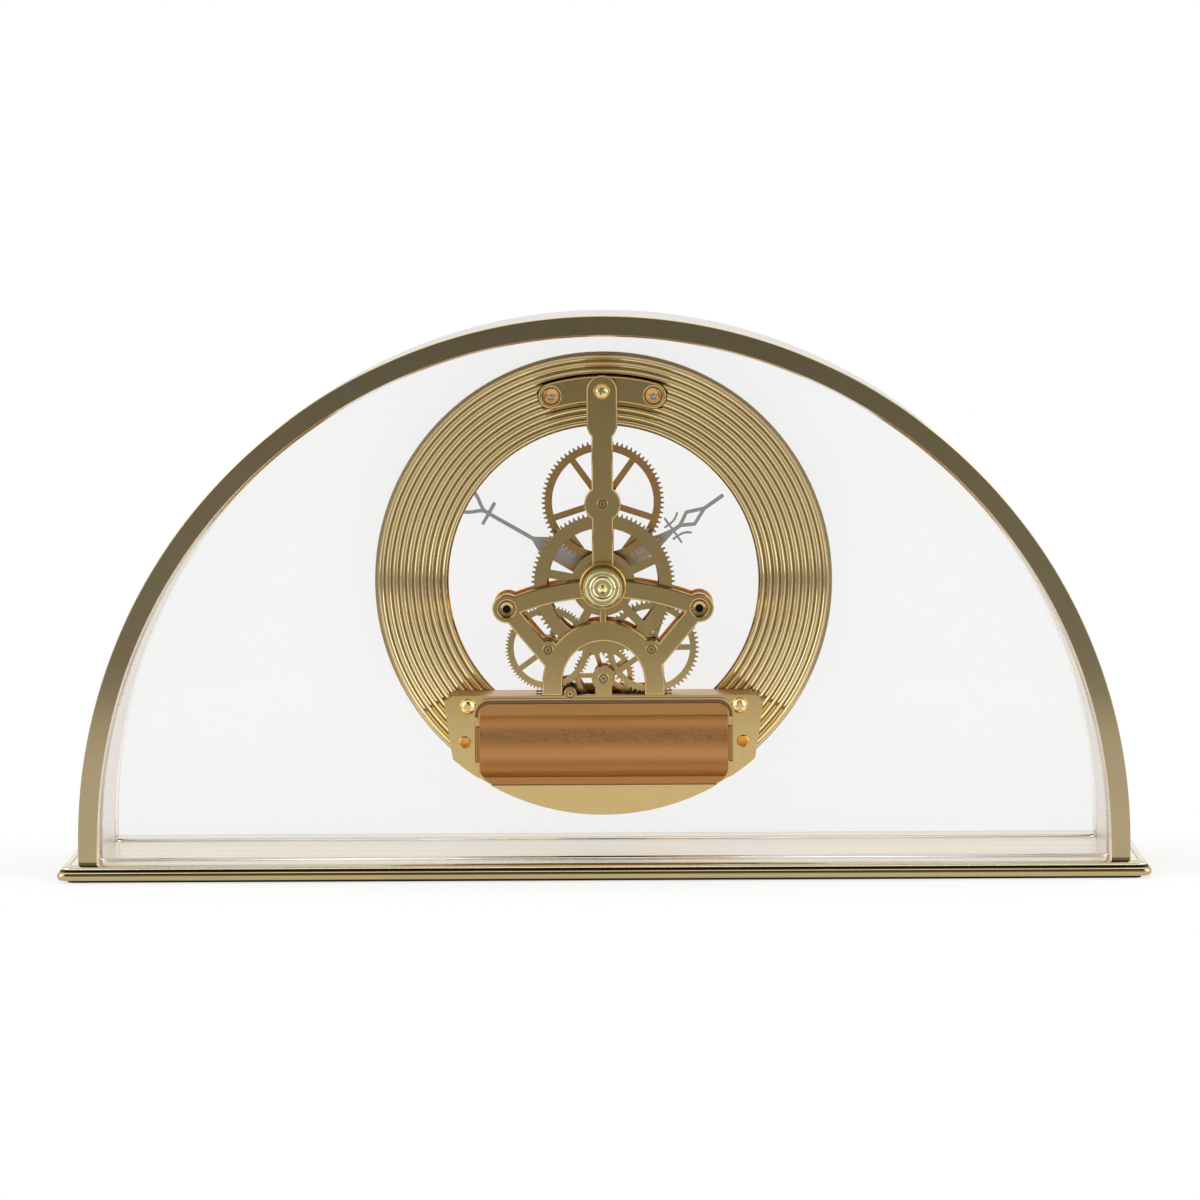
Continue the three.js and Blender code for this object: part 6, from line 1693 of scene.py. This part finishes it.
class CLOCK_OT_stage(ClockOperator, bpy.types.Operator):
    """Set up the camera, the pale floor and the soft studio light"""

    bl_idname = "clock.stage"
    bl_label = "Stage"

    WHITE = (1, 1, 1, 1)
    SENSOR = 36
    NEAREST = 0.05
    LAMP_AIM = Vector((0, 0, 0.06))
    # name: its place, its width and height, its share of the lamp power
    LAMPS = {
        "soft_top": ((0.0, 0.15, 1.15), (1.3, 0.9), 1.0),
        "soft_left": ((1.15, 0.45, 0.6), (0.9, 1.3), 2.4),
        "soft_right": ((-1.15, 0.45, 0.6), (0.9, 1.3), 2.4),
    }
    FLOOR_HALF = 4.0
    FLOOR_GRAIN = 3
    FLOOR_SHADE = 0.995
    FLOOR_ROUGHNESS = 0.6
    # The floor's glow beside the base and far from it, and how far that is in half sizes of the base
    FLOOR_GLOW = (0.6, 1.0)
    FLOOR_FADE = (1.0, 2.4)
    # The dark cards' room: near edge of the lowest and of the highest card, far wall, half width, heights
    CARD_NEAR = 0.38
    CARD_OVER = 0.65
    CARD_FAR = 2.6
    CARD_HALF = 1.1
    CARD_LEVEL = 0.002
    CARD_SKIRT = 0.16
    CARD_TOP = 2.2

    def build(self, scene):
        stage = scene.clock_stage
        self.camera(scene, stage)
        self.world(scene, stage)
        self.floor(stage)
        self.flag(stage)
        for name, (place, size, share) in self.LAMPS.items():
            lamp = bpy.data.lights.new(name, "AREA")
            lamp.shape = "RECTANGLE"
            lamp.size, lamp.size_y = size
            lamp.energy = stage.lamp_power * share
            holder = placed(name, lamp)
            holder.location = place
            holder.rotation_euler = (self.LAMP_AIM - Vector(place)).to_track_quat("-Z", "Y").to_euler()
        scene.view_settings.view_transform = "Standard"

    def camera(self, scene, stage):
        data = bpy.data.cameras.new("camera")
        data.lens = stage.lens
        data.sensor_width = self.SENSOR
        data.clip_start = self.NEAREST
        level = math.cos(stage.pitch)
        ahead = Vector((math.sin(stage.yaw) * level, -math.cos(stage.yaw) * level, -math.sin(stage.pitch)))
        aim = Vector((stage.aim_side, REAR * MM, stage.aim_height))
        place = Matrix.Translation(aim - ahead * stage.distance)
        facing = ahead.to_track_quat("-Z", "Y").to_matrix().to_4x4()
        scene.camera = placed("camera", data)
        scene.camera.matrix_world = place @ facing @ Matrix.Rotation(stage.roll, 4, "Z")

    def seen_rays(self, nodes):
        """1 for rays that look at the background straight, in metal or through glass."""
        path = nodes.tree.nodes.new("ShaderNodeLightPath").outputs
        mirrored = nodes.calc("MAXIMUM", path["Is Camera Ray"], path["Is Glossy Ray"])
        return nodes.calc("MAXIMUM", mirrored, path["Is Transmission Ray"])

    def world(self, scene, stage):
        scene.world = bpy.data.worlds.new("studio")
        scene.world.use_nodes = True
        nodes = Nodes(scene.world.node_tree)
        light = nodes.tree.nodes["Background"]
        light.inputs["Color"].default_value = self.WHITE
        light.inputs["Strength"].default_value = stage.fill
        seen = nodes.add("ShaderNodeBackground", {"Color": self.WHITE})
        mix = nodes.add("ShaderNodeMixShader", {0: self.seen_rays(nodes), 1: light.outputs[0], 2: seen})
        nodes.feed(nodes.tree.nodes["World Output"].inputs["Surface"], mix)

    def sheet(self, name, corners):
        mesh = bpy.data.meshes.new(name)
        mesh.from_pydata(corners, [], [(0, 1, 2, 3)])
        piece = placed(name, mesh)
        return piece

    def level(self, near, far, height, side):
        return [(x, y, height) for x, y in rectangle(-side, side, near, far)]

    def upright(self, back, low, high, side):
        return [(x, back, z) for x, z in rectangle(-side, side, low, high)]

    def floor(self, stage):
        """A floor which fades to white round the base for all rays that see it."""
        half = self.FLOOR_HALF
        floor = self.sheet("floor", self.level(-half, half, 0, half))
        made = Finish("floor", 0.0, self.FLOOR_ROUGHNESS)
        made.colour(made.noise((self.FLOOR_GRAIN,) * 3), shade(stage.floor, self.FLOOR_SHADE), stage.floor)
        around = made.mapped((1 / (BASE_HIGH.x * MM), 1 / (BASE_HIGH.y * MM), 1))
        distance = made.add("ShaderNodeVectorMath", {0: around}, operation="LENGTH").node.outputs["Value"]
        fade = made.spread(distance, *self.FLOOR_GLOW, *self.FLOOR_FADE)
        share = made.calc("MULTIPLY", fade, self.seen_rays(made))
        glow = made.add("ShaderNodeEmission", {})
        made.surface(made.add("ShaderNodeMixShader", {0: share, 1: made.shader.outputs[0], 2: glow}))
        floor.data.materials.append(made.material)

    def flag(self, stage):
        """Dark cards which only reflections see: on the floor, upright and over the camera."""
        far, side, skirt, top = self.CARD_FAR, self.CARD_HALF, self.CARD_SKIRT, self.CARD_TOP
        lowest = self.level(self.CARD_NEAR, far, self.CARD_LEVEL, side)
        highest = self.level(self.CARD_OVER, far, top, side)
        # name: its corners, the axis it changes along, from where to where, the shade at each end
        cards = {
            "flag_level": (lowest, "Y", 2.4, far, 1.0, 0.5),
            "flag_foot": (self.upright(far, 0.0, skirt, side), "Z", 0.08, skirt, 0.45, 0.9),
            "flag_upright": (self.upright(far, skirt, top, side), "Z", 0.25, 1.3, 0.9, 0.18),
            "flag_ceiling": (highest, "Y", self.CARD_OVER, 1.4, 0.6, 0.18),
        }
        for name, (corners, axis, start, end, first, last) in cards.items():
            card = self.sheet(name, corners)
            made = Finish(name, 0.0, 1.0)
            along = made.add("ShaderNodeSeparateXYZ", {0: made.place}).node.outputs[axis]
            grey = made.spread(along, first * stage.flag_shade, last * stage.flag_shade, start, end)
            made.surface(made.add("ShaderNodeEmission", {"Strength": grey}))
            card.data.materials.append(made.material)
            for rays in ("camera", "diffuse", "transmission", "shadow"):
                setattr(card, f"visible_{rays}", False)


class CLOCK_PT_panel(bpy.types.Panel):
    """The clock's steps and sizes"""

    bl_label = "Skeleton Mantel Clock"
    bl_idname = "CLOCK_PT_panel"
    bl_space_type = "VIEW_3D"
    bl_region_type = "UI"
    bl_category = "Clock"

    def draw(self, context):
        for step in STEPS:
            self.layout.operator(step.bl_idname)
        for name in GROUPS:
            settings = getattr(context.scene, f"clock_{name}")
            box = self.layout.box()
            for key in settings.__annotations__:
                box.prop(settings, key)


STEPS = (
    CLOCK_OT_finishes,
    CLOCK_OT_stage,
    CLOCK_OT_base,
    CLOCK_OT_arch,
    CLOCK_OT_dial,
    CLOCK_OT_bracket,
    CLOCK_OT_frame,
    CLOCK_OT_wheels,
    CLOCK_OT_knob,
    CLOCK_OT_hands,
    CLOCK_OT_battery,
    CLOCK_OT_fasteners,
)
GROUPS = {
    "case": CaseSettings,
    "dial": DialSettings,
    "movement": MovementSettings,
    "stage": StageSettings,
}


def register():
    for kind in (*GROUPS.values(), *STEPS, CLOCK_PT_panel):
        bpy.utils.register_class(kind)
    for name, kind in GROUPS.items():
        setattr(bpy.types.Scene, f"clock_{name}", PointerProperty(type=kind))


def unregister():
    for name in GROUPS:
        delattr(bpy.types.Scene, f"clock_{name}")
    for kind in (CLOCK_PT_panel, *reversed(STEPS), *reversed(GROUPS.values())):
        bpy.utils.unregister_class(kind)


def main():
    register()
    for step in STEPS:
        group, name = step.bl_idname.split(".")
        getattr(getattr(bpy.ops, group), name)()


if __name__ == "__main__":
    main()
